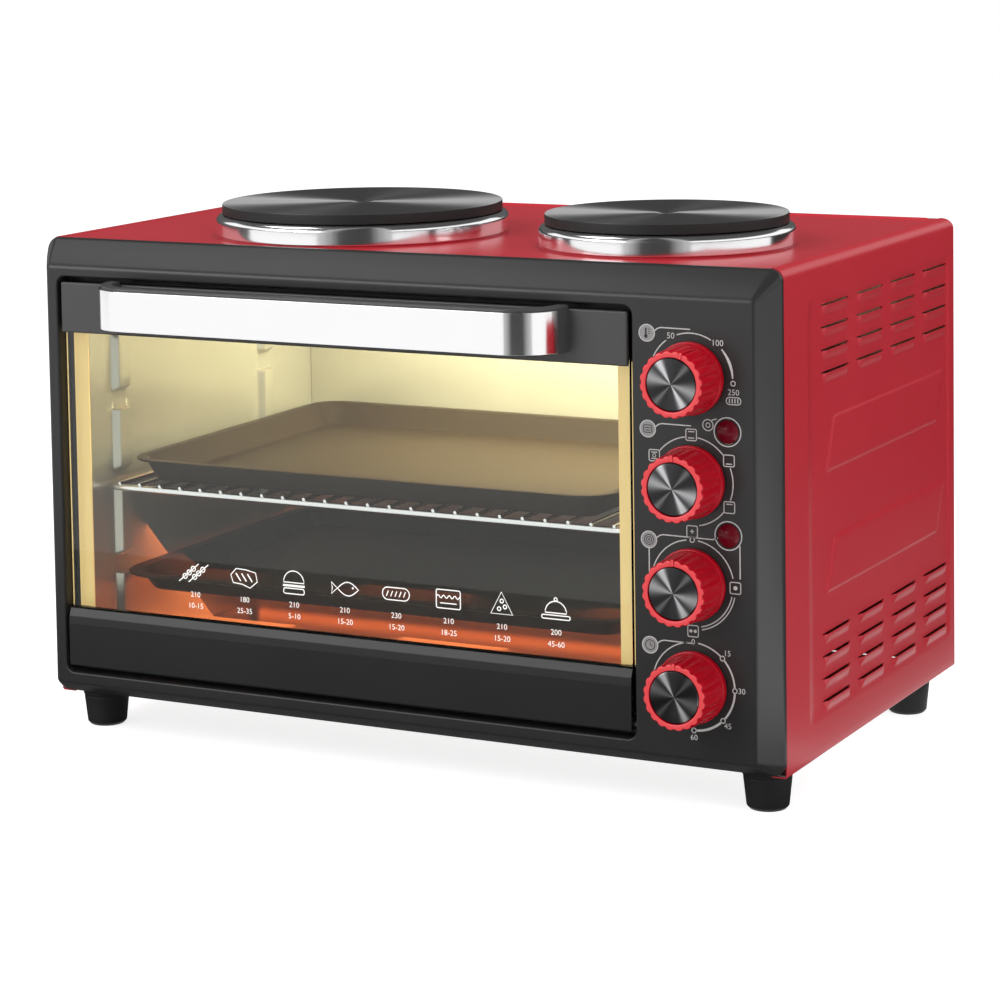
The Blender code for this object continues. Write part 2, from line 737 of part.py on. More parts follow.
def make_hotplates(shop, iron, chrome, steel):
    """Iron discs with a stud, their spill rings and the bridges that clamp them down."""
    for name, radius, x in hotplates():
        place = (x, HOTPLATE_Y, TOP_Z)
        ring_low = SEAT_H + GAP
        ring_top = ring_low + RING_H
        disc_low = ring_top + GAP
        disc_top = disc_low + DISC_EDGE_H
        underside = disc_low - DISC_SINK - RING_H
        body_r = radius - DISC_BODY_INSET
        disc = [(0, disc_top - DIMPLE_D), (DIMPLE_R, disc_top - DIMPLE_D), (DIMPLE_R + DIMPLE_D, disc_top),
                (radius - DISC_CHAMFER, disc_top), (radius, disc_top - DISC_CHAMFER), (radius, disc_low),
                (body_r, disc_low), (body_r, underside), (STUD_R, underside), (STUD_R, underside - STUD_L),
                (0, underside - STUD_L)]
        shop.turned("hotplate_" + name, disc, iron, place, steps=DISC_STEPS)
        outer = radius + RING_OUT
        neck = radius - DISC_CHAMFER
        crown = outer - RING_OUT / 3
        waist = ring_top - RING_H / 2
        ring = [(neck, ring_top), (crown, ring_top - RING_H / 4), (outer, waist), (outer, ring_low),
                (outer - RING_T, ring_low), (outer - RING_T, waist),
                (crown - RING_T, ring_top - RING_H / 4 - RING_T), (neck, ring_top - RING_T)]
        shop.turned("spill_ring_" + name, ring, chrome, place, steps=DISC_STEPS, closed=True)
        low = TOP_Z - SHEET - GAP
        reach = outer + SHEET + BRIDGE_FOOT
        knee = reach - BRIDGE_FOOT
        path = [(x + reach, low), (x + knee, low), (x + knee - BRIDGE_SLOPE, low - BRIDGE_DROP),
                (x - knee + BRIDGE_SLOPE, low - BRIDGE_DROP), (x - knee, low), (x - reach, low)]
        mesh = outline_mesh("hotplate_bridge_" + name, sheet_outline(path, BRIDGE_T), "XZ",
                            HOTPLATE_Y - BRIDGE_W / 2, HOTPLATE_Y + BRIDGE_W / 2)
        bridge = shop.add("hotplate_bridge_" + name, mesh, steel)
        drop = low - BRIDGE_DROP
        bore_r = STUD_R + RUNNING
        bore = [(0, OVERRUN), (bore_r, OVERRUN), (bore_r, -BRIDGE_T - OVERRUN), (0, -BRIDGE_T - OVERRUN)]
        cut(bridge, shop.turned("bridge_hole_" + name, bore, place=(x, HOTPLATE_Y, drop), steps=16))


def make_back_panel(shop, steel, rubber):
    """Back panel with vents, and the bush where the supply cord enters."""
    half = HALF_W - SHEET - GAP
    back_y = BODY_D - BACK_INSET
    base_top = -CASING_LIP + SHEET + GAP + SHEET
    low_z = base_top + GAP
    high_z = TOP_Z - SHEET - GAP
    inner_half = HALF_W - FOLD_R - SHEET - GAP
    step_z = CASING_TOP - SEAM_DROP - FOLD_R
    outline = [(half, low_z), (half, step_z), (inner_half, step_z), (inner_half, high_z),
               (-inner_half, high_z), (-inner_half, step_z), (-half, step_z), (-half, low_z)]
    mesh = outline_mesh("back_panel", outline, "XZ", back_y - SHEET, back_y)
    panel = shop.add("back_panel", mesh, steel)
    slots = bmesh.new()
    span = VENT_PITCH * (VENT_COUNT - 1)
    for start in (high_z - VENT_TOP - VENT_H, low_z + VENT_LOW):
        for index in range(VENT_COUNT):
            x = -span / 2 + VENT_PITCH * index
            add_box(slots, (x - VENT_W / 2, back_y - SHEET - OVERRUN, start),
                    (x + VENT_W / 2, back_y + OVERRUN, start + VENT_H))
    cut(panel, shop.add("back_vents", bmesh_to_mesh(slots, "back_vents")))
    place = (HALF_W - BUSH_IN, back_y, BUSH_UP)
    hole_r = BUSH_R + GAP
    hole = [(0, SHEET + OVERRUN), (hole_r, SHEET + OVERRUN), (hole_r, -OVERRUN), (0, -OVERRUN)]
    cut(panel, shop.turned("cord_hole", hole, place=place, turn=TO_FRONT, steps=24))
    bush = [(BUSH_BORE_R, SHEET + BUSH_TAIL), (BUSH_R, SHEET + BUSH_TAIL), (BUSH_R, -GAP),
            (BUSH_HEAD_R, -GAP), (BUSH_HEAD_R - BUSH_CHAMFER, -BUSH_HEAD_T), (BUSH_BORE_R, -BUSH_HEAD_T)]
    shop.turned("cord_bush", bush, rubber, place, TO_FRONT, steps=24, closed=True)


def make_base(shop, steel, rubber):
    """Base plate with vents, and the four feet."""
    half = HALF_W - SHEET - GAP
    low_z = -CASING_LIP + SHEET + GAP
    mesh = box_mesh("base_plate", (-half, CASING_FRONT, low_z),
                    (half, BODY_D - BACK_INSET - SHEET - GAP, low_z + SHEET))
    base = shop.add("base_plate", mesh, steel)
    slots = bmesh.new()
    span = BASE_VENT_PITCH * (BASE_VENT_COUNT - 1)
    for index in range(BASE_VENT_COUNT):
        x = -span / 2 + BASE_VENT_PITCH * index
        add_box(slots, (x - VENT_W / 2, BASE_VENT_Y, low_z - OVERRUN),
                (x + VENT_W / 2, BASE_VENT_Y + BASE_VENT_L, low_z + SHEET + OVERRUN))
    cut(base, shop.add("base_vents", bmesh_to_mesh(slots, "base_vents")))
    top = -CASING_LIP - GAP
    foot = [(0, top), (FOOT_TOP_R, top), (FOOT_LOW_R, top - FOOT_H + FOOT_ROUND),
            (FOOT_LOW_R - FOOT_ROUND, top - FOOT_H), (0, top - FOOT_H)]
    for row, y in (("front", FOOT_FRONT), ("rear", BODY_D - FOOT_BACK)):
        for side, x in (("left", -HALF_W + FOOT_SIDE), ("right", HALF_W - FOOT_SIDE)):
            shop.turned(f"foot_{row}_{side}", foot, rubber, (x, y, 0), steps=24)


def stay_places():
    """Middle plane of each stay arm."""
    return (("left", DOOR_X0 + STAY_INSET - DOOR_SIDE_GAP), ("right", DOOR_X1 - STAY_INSET + DOOR_SIDE_GAP))


def make_cavity(shop, steel):
    """Front frame, floor, ceiling, back and side walls of the cavity."""
    frame_back = FRAME_FRONT + FRAME_T
    mesh = box_mesh("cavity_frame", (OPEN_X0 - FRAME_LAP, FRAME_FRONT, OPEN_Z0 - FRAME_LAP),
                    (OPEN_X1 + FRAME_LAP, frame_back, OPEN_Z1 + FRAME_LAP))
    frame = shop.add("cavity_frame", mesh, steel)
    mouth = box_mesh("cavity_mouth", (CAVITY_X0, FRAME_FRONT - OVERRUN, CAVITY_Z0),
                     (CAVITY_X1, frame_back + OVERRUN, CAVITY_Z1))
    cut(frame, shop.add("cavity_mouth", mouth))
    slots = bmesh.new()
    slot_z = HINGE_Z + STAY_R
    for _name, x in stay_places():
        add_box(slots, (x - STAY_T / 2 - STAY_SLOT, FRAME_FRONT - OVERRUN, slot_z - STAY_W - STAY_SLOT),
                (x + STAY_T / 2 + STAY_SLOT, frame_back + OVERRUN, slot_z + STAY_W / 2 + STAY_SLOT))
    cut(frame, shop.add("stay_slots", bmesh_to_mesh(slots, "stay_slots")))
    low = (CAVITY_X0 + GAP, CAVITY_Y0)
    high = (CAVITY_X1 - GAP, CAVITY_Y1)
    mesh = box_mesh("cavity_floor", (*low, CAVITY_Z0 - SHEET), (*high, CAVITY_Z0))
    shop.add("cavity_floor", mesh, steel)
    mesh = box_mesh("cavity_ceiling", (*low, CAVITY_Z1), (*high, CAVITY_Z1 + SHEET))
    shop.add("cavity_ceiling", mesh, steel)
    mesh = box_mesh("cavity_wall_back", (CAVITY_X0 + GAP, CAVITY_Y1 - SHEET, CAVITY_Z0 + GAP),
                    (CAVITY_X1 - GAP, CAVITY_Y1, CAVITY_Z1 - GAP))
    shop.add("cavity_wall_back", mesh, steel)
    make_side_wall(shop, "cavity_wall_left", CAVITY_X0, 1, steel)
    wall = make_side_wall(shop, "cavity_wall_right", CAVITY_X1, -1, steel)
    hole_r = LAMP_R - LAMP_FLANGE + GAP
    hole = [(0, OVERRUN), (hole_r, OVERRUN), (hole_r, -SHEET - OVERRUN), (0, -SHEET - OVERRUN)]
    cut(wall, shop.turned("lamp_hole", hole, place=lamp_place(), turn=TO_LEFT, steps=20))


def pad_spans():
    """Height ranges of the pads between the shelf grooves."""
    spans = []
    low = CAVITY_Z0 + PAD_FOOT
    for height in SHELF_HEIGHTS:
        spans.append((low, height - FRAME_WIRE_R - GAP))
        low = height - FRAME_WIRE_R - GAP + SHELF_SLOT
    spans.append((low, PAD_TOP))
    return spans


def make_side_wall(shop, name, x, sign, steel):
    """Side wall of the cavity with the pads that carry rack and trays."""
    mesh = box_mesh(name, (x - SHEET * sign, CAVITY_Y0, CAVITY_Z0 - SHEET),
                    (x, CAVITY_Y1, CAVITY_Z1 + SHEET))
    wall = shop.add(name, mesh, steel)
    pads = bmesh.new()
    for near, width in ((PAD_FRONT, PAD_FRONT_W), (PAD_REAR, PAD_REAR_W)):
        for low, high in pad_spans():
            rings = []
            for out, inset in ((-SHEET / 2, 0), (0, 0), (PAD_OUT, PAD_TAPER)):
                rings.append([(x + out * sign, near + inset, low + inset),
                              (x + out * sign, near + width - inset, low + inset),
                              (x + out * sign, near + width - inset, high),
                              (x + out * sign, near + inset, high)])
            add_loft(pads, rings)
    fuse(wall, shop.add(name + "_pads", bmesh_to_mesh(pads, name + "_pads")))
    bore_r = HEATER_BUSH_R + GAP
    bore = [(0, OVERRUN + SHEET), (bore_r, OVERRUN + SHEET), (bore_r, -OVERRUN), (0, -OVERRUN)]
    for index, (y, z) in enumerate(heater_places()):
        place = (x - SHEET * max(sign, 0), y, z)
        cut(wall, shop.turned(f"{name}_heater_hole_{index}", bore, place=place, turn=TO_RIGHT, steps=16))
    return wall


def heater_places():
    """Depth and height of each heating rod, lower pair first."""
    low = CAVITY_Z0 + HEATER_RISE
    high = CAVITY_Z1 - HEATER_DROP
    near = CAVITY_Y0 + HEATER_FRONT
    far = CAVITY_Y0 + HEATER_REAR
    return ((near, low), (far, low), (near, high), (far, high))


def make_heaters(shop, sheath):
    """Straight heating rods with a bush at each wall and a terminal pin at each end."""
    names = ("heater_lower_front", "heater_lower_rear", "heater_upper_front", "heater_upper_rear")
    middle = (CAVITY_X0 + CAVITY_X1) / 2
    inner = (CAVITY_X1 - CAVITY_X0) / 2
    half = [(0, inner + HEATER_TAIL), (HEATER_PIN_R, inner + HEATER_TAIL),
            (HEATER_PIN_R, inner + HEATER_BUSH_OUT), (HEATER_BUSH_R, inner + HEATER_BUSH_OUT),
            (HEATER_BUSH_R, inner - HEATER_BUSH_IN), (HEATER_R, inner - HEATER_BUSH_IN)]
    profile = half + [(radius, -height) for radius, height in reversed(half)]
    for name, (y, z) in zip(names, heater_places()):
        shop.turned(name, profile, sheath, (middle, y, z), TO_RIGHT, steps=12)


def lamp_place():
    """Centre of the oven lamp on the right wall."""
    return (CAVITY_X1, CAVITY_Y1 - LAMP_BACK, CAVITY_Z1 - LAMP_DROP)


def make_lamp(shop, glass, ceramic):
    """Glass cap of the oven lamp and the socket behind it."""
    bore = LAMP_R - LAMP_FLANGE
    cap = [(0, LAMP_FLANGE_T + LAMP_DOME), (bore / 2, LAMP_FLANGE_T + LAMP_DOME - LAMP_FLANGE_T / 2),
           (bore * math.cos(math.pi / 6), LAMP_FLANGE_T + LAMP_DOME / 2), (bore, LAMP_FLANGE_T + GAP),
           (LAMP_R, LAMP_FLANGE_T + GAP), (LAMP_R, GAP), (bore, GAP), (bore, -LAMP_BARREL),
           (0, -LAMP_BARREL)]
    shop.turned("oven_lamp_glass", cap, glass, lamp_place(), TO_LEFT, steps=20)
    top = -LAMP_BARREL - GAP
    socket = [(0, top), (SOCKET_R, top), (SOCKET_R, top - SOCKET_D), (0, top - SOCKET_D)]
    shop.turned("oven_lamp_socket", socket, ceramic, lamp_place(), TO_LEFT, steps=20)


def make_door(shop, hinge, glass, paint, steel, plastic, chrome):
    """Door: pane, lower panel, rails, handle with its trim, and stay arms."""
    shift = -hinge.location
    edge = GAP * 2
    mesh = box_mesh("door_glass", (DOOR_X0 + edge, GLASS_FRONT, DOOR_Z0 + RAIL_FOOT_H + edge),
                    (DOOR_X1 - edge, GLASS_BACK, DOOR_Z1 - edge))
    shop.add("door_glass", mesh, glass, shift, parent=hinge)
    top = DOOR_Z0 + LOWER_PANEL_H
    lip = GLASS_FRONT - GAP - LOWER_PANEL_T
    foot_front = DOOR_BACK - RAIL_FOOT_D
    path = [(lip, top), (0, top - LOWER_PANEL_BEVEL), (0, DOOR_Z0), (foot_front - GAP, DOOR_Z0)]
    mesh = outline_mesh("door_lower_panel", sheet_outline(path, LOWER_PANEL_T), "YZ", DOOR_X0, DOOR_X1)
    shop.add("door_lower_panel", mesh, paint, shift, parent=hinge)
    low = DOOR_Z0 + GAP
    step = DOOR_Z0 + RAIL_FOOT_H
    outline = [(foot_front, low), (DOOR_BACK, low), (DOOR_BACK, top), (RAIL_FRONT, top),
               (RAIL_FRONT, step), (foot_front, step)]
    mesh = outline_mesh("door_lower_rail", outline, "YZ", DOOR_X0 + edge, DOOR_X1 - edge)
    rail = shop.add("door_lower_rail", mesh, steel, shift, parent=hinge)
    deep = PIN_IN + DOOR_SIDE_GAP
    bore = [(0, OVERRUN), (PIN_R + RUNNING, OVERRUN), (PIN_R + RUNNING, -deep), (0, -deep)]
    for name, x, turn in (("left", DOOR_X0, TO_LEFT), ("right", DOOR_X1, TO_RIGHT)):
        place = (x, HINGE_Y, HINGE_Z)
        cut(rail, shop.turned("rail_pin_hole_" + name, bore, place=place, turn=turn, steps=ROUND_STEPS))
    mesh = box_mesh("door_upper_rail", (DOOR_X0 + edge, RAIL_FRONT, DOOR_Z1 - UPPER_RAIL_H),
                    (DOOR_X1 - edge, DOOR_BACK, DOOR_Z1 - edge))
    shop.add("door_upper_rail", mesh, steel, shift, parent=hinge)
    make_handle(shop, hinge, shift, plastic, chrome)
    make_stays(shop, hinge, shift, steel)


def handle_path(inset, start_depth):
    """Plan view of the bar's front side, from its left root to its right root."""
    left = DOOR_X0 + HANDLE_INSET
    right = DOOR_X1 - HANDLE_INSET
    root_y = GLASS_FRONT - GAP - HANDLE_PLATE_T
    reach = HANDLE_REACH + root_y
    start = math.degrees(math.asin(max(0.0, start_depth) / reach))
    points = []
    bends = ((left + HANDLE_CURVE, 180 + start, 270), (right - HANDLE_CURVE, 270, 360 - start))
    for centre, first, last in bends:
        for step in range(ARC_STEPS + 1):
            angle = math.radians(first + (last - first) * step / ARC_STEPS)
            points.append((centre + (HANDLE_CURVE - inset) * math.cos(angle),
                           root_y + (reach - inset) * math.sin(angle)))
    return points


def make_handle(shop, hinge, shift, plastic, chrome):
    """Black handle moulding and the bright trim on its front."""
    plate_back = GLASS_FRONT - GAP
    plate_front = plate_back - HANDLE_PLATE_T
    plate_low = DOOR_Z1 - HANDLE_PLATE_H
    mesh = box_mesh("door_handle", (DOOR_X0, plate_front, plate_low), (DOOR_X1, plate_back, DOOR_Z1))
    handle = shop.add("door_handle", mesh, plastic, shift, parent=hinge)
    outer = handle_path(0, 0)
    inner = handle_path(HANDLE_BAR_T, 0)
    sunk = plate_front + HANDLE_PLATE_T / 2
    outline = [(outer[0][0], sunk)] + outer + [(outer[-1][0], sunk), (inner[-1][0], sunk)]
    outline += inner[::-1] + [(inner[0][0], sunk)]
    bar_low = plate_low + HANDLE_BAR_RISE
    mesh = outline_mesh("handle_bar", outline, "XY", bar_low, bar_low + HANDLE_BAR_H)
    fuse(handle, shop.add("handle_bar", mesh))
    face = handle_path(-GAP, TRIM_START)
    skin = handle_path(-GAP - TRIM_T, TRIM_START)
    trim_low = bar_low + (HANDLE_BAR_H - TRIM_H) / 3
    mesh = outline_mesh("handle_trim", face + skin[::-1], "XY", trim_low, trim_low + TRIM_H)
    shop.add("handle_trim", mesh, chrome, shift, parent=hinge)


def make_stays(shop, hinge, shift, steel):
    """Curved arms on the door that run through slots in the cavity frame."""
    outer_r = STAY_R + STAY_W / 2
    inner_r = STAY_R - STAY_W / 2
    outer = []
    inner = []
    for index in range(STAY_STEPS + 1):
        angle = math.radians(STAY_START_DEG + (STAY_HOOK_DEG - STAY_START_DEG) * index / STAY_STEPS)
        outer.append((HINGE_Y + outer_r * math.sin(angle), HINGE_Z + outer_r * math.cos(angle)))
        inner.append((HINGE_Y + inner_r * math.sin(angle), HINGE_Z + inner_r * math.cos(angle)))
    for degrees in (STAY_HOOK_DEG, STAY_END_DEG):
        angle = math.radians(degrees)
        hook_r = outer_r + STAY_HOOK
        outer.append((HINGE_Y + hook_r * math.sin(angle), HINGE_Z + hook_r * math.cos(angle)))
    angle = math.radians(STAY_END_DEG)
    inner.append((HINGE_Y + inner_r * math.sin(angle), HINGE_Z + inner_r * math.cos(angle)))
    tab_front = DOOR_BACK + GAP
    tab_top = DOOR_Z0 + LOWER_PANEL_H
    for name, x in stay_places():
        mesh = outline_mesh("door_stay_" + name, outer + inner[::-1], "YZ", x - STAY_T / 2, x + STAY_T / 2)
        stay = shop.add("door_stay_" + name, mesh, steel, shift, parent=hinge)
        cutter = box_mesh("stay_trim_" + name, (x - STAY_TAB_W, HINGE_Y - STAY_R, HINGE_Z),
                          (x + STAY_TAB_W, tab_front, HINGE_Z + STAY_R + STAY_W * 2))
        cut(stay, shop.add("stay_trim_" + name, cutter))
        tab = box_mesh("stay_tab_" + name, (x - STAY_TAB_W / 2, tab_front, tab_top - STAY_TAB_H),
                       (x + STAY_TAB_W / 2, tab_front + STAY_TAB_T, tab_top))
        fuse(stay, shop.add("stay_tab_" + name, tab))


def make_hinge_pins(shop, steel):
    """Fixed pins in the collar on which the door turns."""
    tip = -PIN_IN - DOOR_SIDE_GAP + GAP
    pin = [(0, COLLAR_WALL + PIN_OUT), (PIN_R, COLLAR_WALL + PIN_OUT), (PIN_R, tip), (0, tip)]
    for name, x, turn in (("left", OPEN_X0, TO_LEFT), ("right", OPEN_X1, TO_RIGHT)):
        shop.turned("hinge_pin_" + name, pin, steel, (x, HINGE_Y, HINGE_Z), turn, steps=ROUND_STEPS)


def make_rack(shop, wire):
    """Wire rack: round-cornered frame with cross wires on top."""
    inset = RACK_WALL_GAP + FRAME_WIRE_R
    x0 = CAVITY_X0 + inset
    x1 = CAVITY_X1 - inset
    y0 = CAVITY_Y0 + RACK_FRONT
    y1 = CAVITY_Y1 - RACK_BACK
    z = SHELF_HEIGHTS[1]
    frame = level_ring(rounded_rectangle(x0, x1, y0, y1, RACK_CORNER_R, steps=3), z)
    rack = shop.add("wire_rack", tube_mesh("wire_rack", frame, FRAME_WIRE_R, True), wire)
    span = x1 - x0 - 2 * RACK_CORNER_R
    count = int(span / RACK_PITCH + 0.5) + 1
    bm = bmesh.new()
    cross_z = z + FRAME_WIRE_R + CROSS_WIRE_R - WIRE_BITE
    length = y1 - y0 + FRAME_WIRE_R
    for index in range(count):
        x = x0 + RACK_CORNER_R + span * index / (count - 1)
        matrix = Matrix.Translation((x, (y0 + y1) / 2, cross_z)) @ Matrix.Rotation(math.pi / 2, 4, "X")
        bmesh.ops.create_cone(bm, cap_ends=True, segments=6, radius1=CROSS_WIRE_R, radius2=CROSS_WIRE_R,
                              depth=length, matrix=matrix)
    fuse(rack, shop.add("cross_wires", bmesh_to_mesh(bm, "cross_wires")))


def tray_rings(x0, x1, y0, y1, radius, floor_z, rim_z, rim):
    """Rings from the underside of a tray round its rim to the inside of its floor."""
    def ring(inset, z):
        corner = max(radius - inset, TRAY_T)
        return level_ring(rounded_rectangle(x0 + inset, x1 - inset, y0 + inset, y1 - inset, corner), z)
    under_rim = rim_z - TRAY_T
    return [ring(rim + TRAY_FLARE, floor_z), ring(rim, under_rim), ring(0, under_rim), ring(0, rim_z),
            ring(rim + TRAY_T, rim_z), ring(rim + TRAY_FLARE + TRAY_T, floor_z + TRAY_T)]


def make_trays(shop, enamel):
    """Upper tray on the rack, lower tray by its rim on the lowest pads."""
    rack_top = SHELF_HEIGHTS[1] + FRAME_WIRE_R + 2 * CROSS_WIRE_R - WIRE_BITE
    middle = (CAVITY_X0 + CAVITY_X1) / 2
    y0 = CAVITY_Y0 + UPPER_TRAY_FRONT
    floor_z = rack_top + GAP
    rings = tray_rings(middle - UPPER_TRAY_W / 2, middle + UPPER_TRAY_W / 2, y0, y0 + UPPER_TRAY_D,
                       UPPER_TRAY_R, floor_z, floor_z + UPPER_TRAY_H, UPPER_TRAY_RIM)
    shop.add("upper_tray", loft_mesh("upper_tray", rings), enamel)
    y0 = CAVITY_Y0 + LOWER_TRAY_FRONT
    rim_z = SHELF_HEIGHTS[0] - FRAME_WIRE_R + TRAY_T
    rings = tray_rings(CAVITY_X0 + LOWER_TRAY_WALL_GAP, CAVITY_X1 - LOWER_TRAY_WALL_GAP, y0,
                       y0 + LOWER_TRAY_D, LOWER_TRAY_R, rim_z - LOWER_TRAY_H, rim_z, LOWER_TRAY_RIM)
    shop.add("lower_tray", loft_mesh("lower_tray", rings), enamel)


def knob_ring(radius, flute, y):
    """Fluted outline of the grip at one depth; a flute is a shallow groove."""
    points = []
    count = KNOB_FLUTES * 3
    for index in range(count):
        angle = 2 * math.pi * index / count + math.pi / 2
        reach = radius - (flute if index % 3 == 0 else 0)
        points.append((reach * math.cos(angle), y, reach * math.sin(angle)))
    return points


def make_controls(shop, grip, spun, steel, plastic):
    """Switch bodies behind the panel with shaft, knob and knob cap in front."""
    front = -KNOB_L
    back = -KNOB_CLEAR
    skirt = back - KNOB_SKIRT_L
    rings = [knob_ring(KNOB_SKIRT_R, 0, back), knob_ring(KNOB_SKIRT_R, 0, skirt),
             knob_ring(KNOB_GRIP_R, 0, skirt), knob_ring(KNOB_FRONT_R, KNOB_FLUTE, front)]
    pointer_top = KNOB_FRONT_R + POINTER_OUT
    for name, height, degrees in zip(KNOB_NAMES, knob_heights(), KNOB_TURNS_DEG):
        place = (KNOB_X, 0, height)
        axis = shop.add_empty(name + "_axis", place, shop.frame)
        axis.rotation_euler = (0, math.radians(degrees), 0)
        knob = shop.add(name + "_knob", loft_mesh(name + "_knob", rings), grip, parent=axis)
        low = (-POINTER_W / 2, front - POINTER_RISE, KNOB_RECESS_R - POINTER_OUT)
        high = (POINTER_W / 2, skirt - KNOB_SKIRT_L, pointer_top)
        pointer = box_mesh(name + "_pointer", low, high)
        fuse(knob, shop.add(name + "_pointer", pointer, parent=axis))
        deep = -front - KNOB_RECESS_D
        mouth = -front + OVERRUN
        recess = [(0, mouth), (KNOB_RECESS_R, mouth), (KNOB_RECESS_R, deep), (0, deep)]
        cut(knob, shop.turned(name + "_recess", recess, turn=TO_FRONT, parent=axis, steps=36))
        bore_top = KNOB_CLEAR + SHAFT_IN_KNOB + GAP
        bore_r = SHAFT_R + GAP
        bore = [(0, bore_top), (bore_r, bore_top), (bore_r, -OVERRUN), (0, -OVERRUN)]
        cut(knob, shop.turned(name + "_bore", bore, turn=TO_FRONT, parent=axis, steps=ROUND_STEPS))
        cap_low = deep + GAP
        cap_r = KNOB_RECESS_R - GAP
        cap_top = cap_low + CAP_T
        cap = [(0, cap_top), (cap_r - CAP_CHAMFER, cap_top), (cap_r, cap_top - CAP_CHAMFER),
               (cap_r, cap_low), (0, cap_low)]
        shop.turned(name + "_cap", cap, spun, turn=TO_FRONT, parent=axis, steps=36)
        tip = KNOB_CLEAR + SHAFT_IN_KNOB
        shaft_end = -BEZEL_WALL - SHAFT_IN_SWITCH
        shaft = [(0, tip), (SHAFT_R, tip), (SHAFT_R, shaft_end), (0, shaft_end)]
        shop.turned(name + "_shaft", shaft, steel, turn=TO_FRONT, parent=axis, steps=ROUND_STEPS)
        make_switch(shop, name, place, shaft_end, plastic)


def make_switch(shop, name, place, shaft_end, plastic):
    """Switch, thermostat or timer body: a block with a neck that takes the shaft."""
    x, _y, z = place
    low_y = BEZEL_WALL + GAP
    block_y = low_y + SWITCH_NECK_L
    outline = rounded_rectangle(x - SWITCH_W / 2, x + SWITCH_W / 2, z - SWITCH_H / 2, z + SWITCH_H / 2,
                                SWITCH_CORNER, steps=2)
    mesh = loft_mesh(name + "_switch", [ring_at(outline, block_y), ring_at(outline, block_y + SWITCH_D)])
    body = shop.add(name + "_switch", mesh, plastic)
    root = -block_y - OVERRUN
    neck = [(0, -low_y), (SWITCH_NECK_R, -low_y), (SWITCH_NECK_R, root), (0, root)]
    fuse(body, shop.turned(name + "_neck", neck, place=place, turn=TO_FRONT, steps=ROUND_STEPS))
    bore_r = SHAFT_R + RUNNING
    bore = [(0, OVERRUN), (bore_r, OVERRUN), (bore_r, shaft_end - GAP), (0, shaft_end - GAP)]
    cut(body, shop.turned(name + "_switch_bore", bore, place=place, turn=TO_FRONT, steps=ROUND_STEPS))


def make_lenses(shop, red):
    """Domed lenses of the two indicator lamps with their barrels."""
    crown = [(LENS_R * math.cos(math.radians(degrees)), LENS_DOME * math.sin(math.radians(degrees)))
             for degrees in LENS_DOME_DEG]
    tail = [(LENS_R, -BEZEL_WALL), (LENS_TAIL_R, -BEZEL_WALL), (LENS_TAIL_R, -LENS_TAIL), (0, -LENS_TAIL)]
    lens = [(0, LENS_DOME)] + crown + tail
    for name, height in zip(("power", "heating"), lens_heights()):
        shop.turned(name + "_lamp_lens", lens, red, (LENS_X, 0, height), TO_FRONT, steps=20)


def main():
    """Builds every piece of the oven."""
    for thing in list(bpy.data.objects):
        bpy.data.objects.remove(thing)
    shop = Workshop()
    red = make_material("red_enamel", (0.44, 0.025, 0.040), 0.28, 0.0)
    black = make_material("dark_bezel", (0.050, 0.050, 0.050), 0.32, 0.0)
    plastic = make_material("black_plastic", (0.035, 0.035, 0.036), 0.40, 0.0)
    knob_red = make_material("knob_red", (0.62, 0.012, 0.025), 0.35, 0.0)
    spun = make_material("spun_metal", (0.12, 0.12, 0.12), 0.30, 1.0)
    chrome = make_material("chrome", (0.80, 0.80, 0.82), 0.08, 1.0)
    steel = make_material("zinc_steel", (0.58, 0.56, 0.52), 0.35, 1.0)
    iron = make_material("cast_iron", (0.030, 0.030, 0.031), 0.42, 0.4)
    rubber = make_material("foot_rubber", (0.012, 0.012, 0.012), 0.60, 0.0)
    enamel = make_material("tray_enamel", (0.045, 0.034, 0.024), 0.32, 0.2)
    glass = make_material("clear_glass", (0.90, 0.95, 0.92), 0.05, 0.0, 0.25)
    lens = make_material("red_lens", (0.20, 0.004, 0.010), 0.12, 0.0)
    ceramic = make_material("ceramic", (0.75, 0.73, 0.68), 0.50, 0.0)
    sheath = make_material("heater_sheath", (0.60, 0.20, 0.08), 0.45, 0.5)
    make_bezel(shop, black)
    make_side_panel(shop, "side_panel_left", -1, red)
    make_side_panel(shop, "side_panel_right", 1, red)
    make_top_panel(shop, red)
    make_hotplates(shop, iron, chrome, steel)
    make_back_panel(shop, steel, rubber)
    make_base(shop, steel, rubber)
    make_cavity(shop, steel)
    make_heaters(shop, sheath)
    make_lamp(shop, glass, ceramic)
    make_rack(shop, chrome)
    make_trays(shop, enamel)
    hinge = shop.add_empty("door_hinge_axis", (0, HINGE_Y, HINGE_Z), shop.frame)
    make_door(shop, hinge, glass, black, steel, plastic, chrome)
    make_hinge_pins(shop, steel)
    make_controls(shop, knob_red, spun, steel, plastic)
    make_lenses(shop, lens)


if __name__ == "__main__":
    main()
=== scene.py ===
"""Dressed model of a counter-top electric oven with two iron hotplates.

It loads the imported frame, builds each sub-assembly finer than its solids and gives every
surface a procedural finish. Lengths are metres. The makers work in the casing's own frame:
X runs right from the middle, Y runs back from the bezel's face and Z runs up from the
bezel's lower edge. The bench moves each finished mesh into the frame of the solids.
"""

import json
import logging
import math
from dataclasses import dataclass
from enum import Enum
from typing import Callable, Optional, Sequence

import bmesh
import bpy
from mathutils import Matrix, Vector

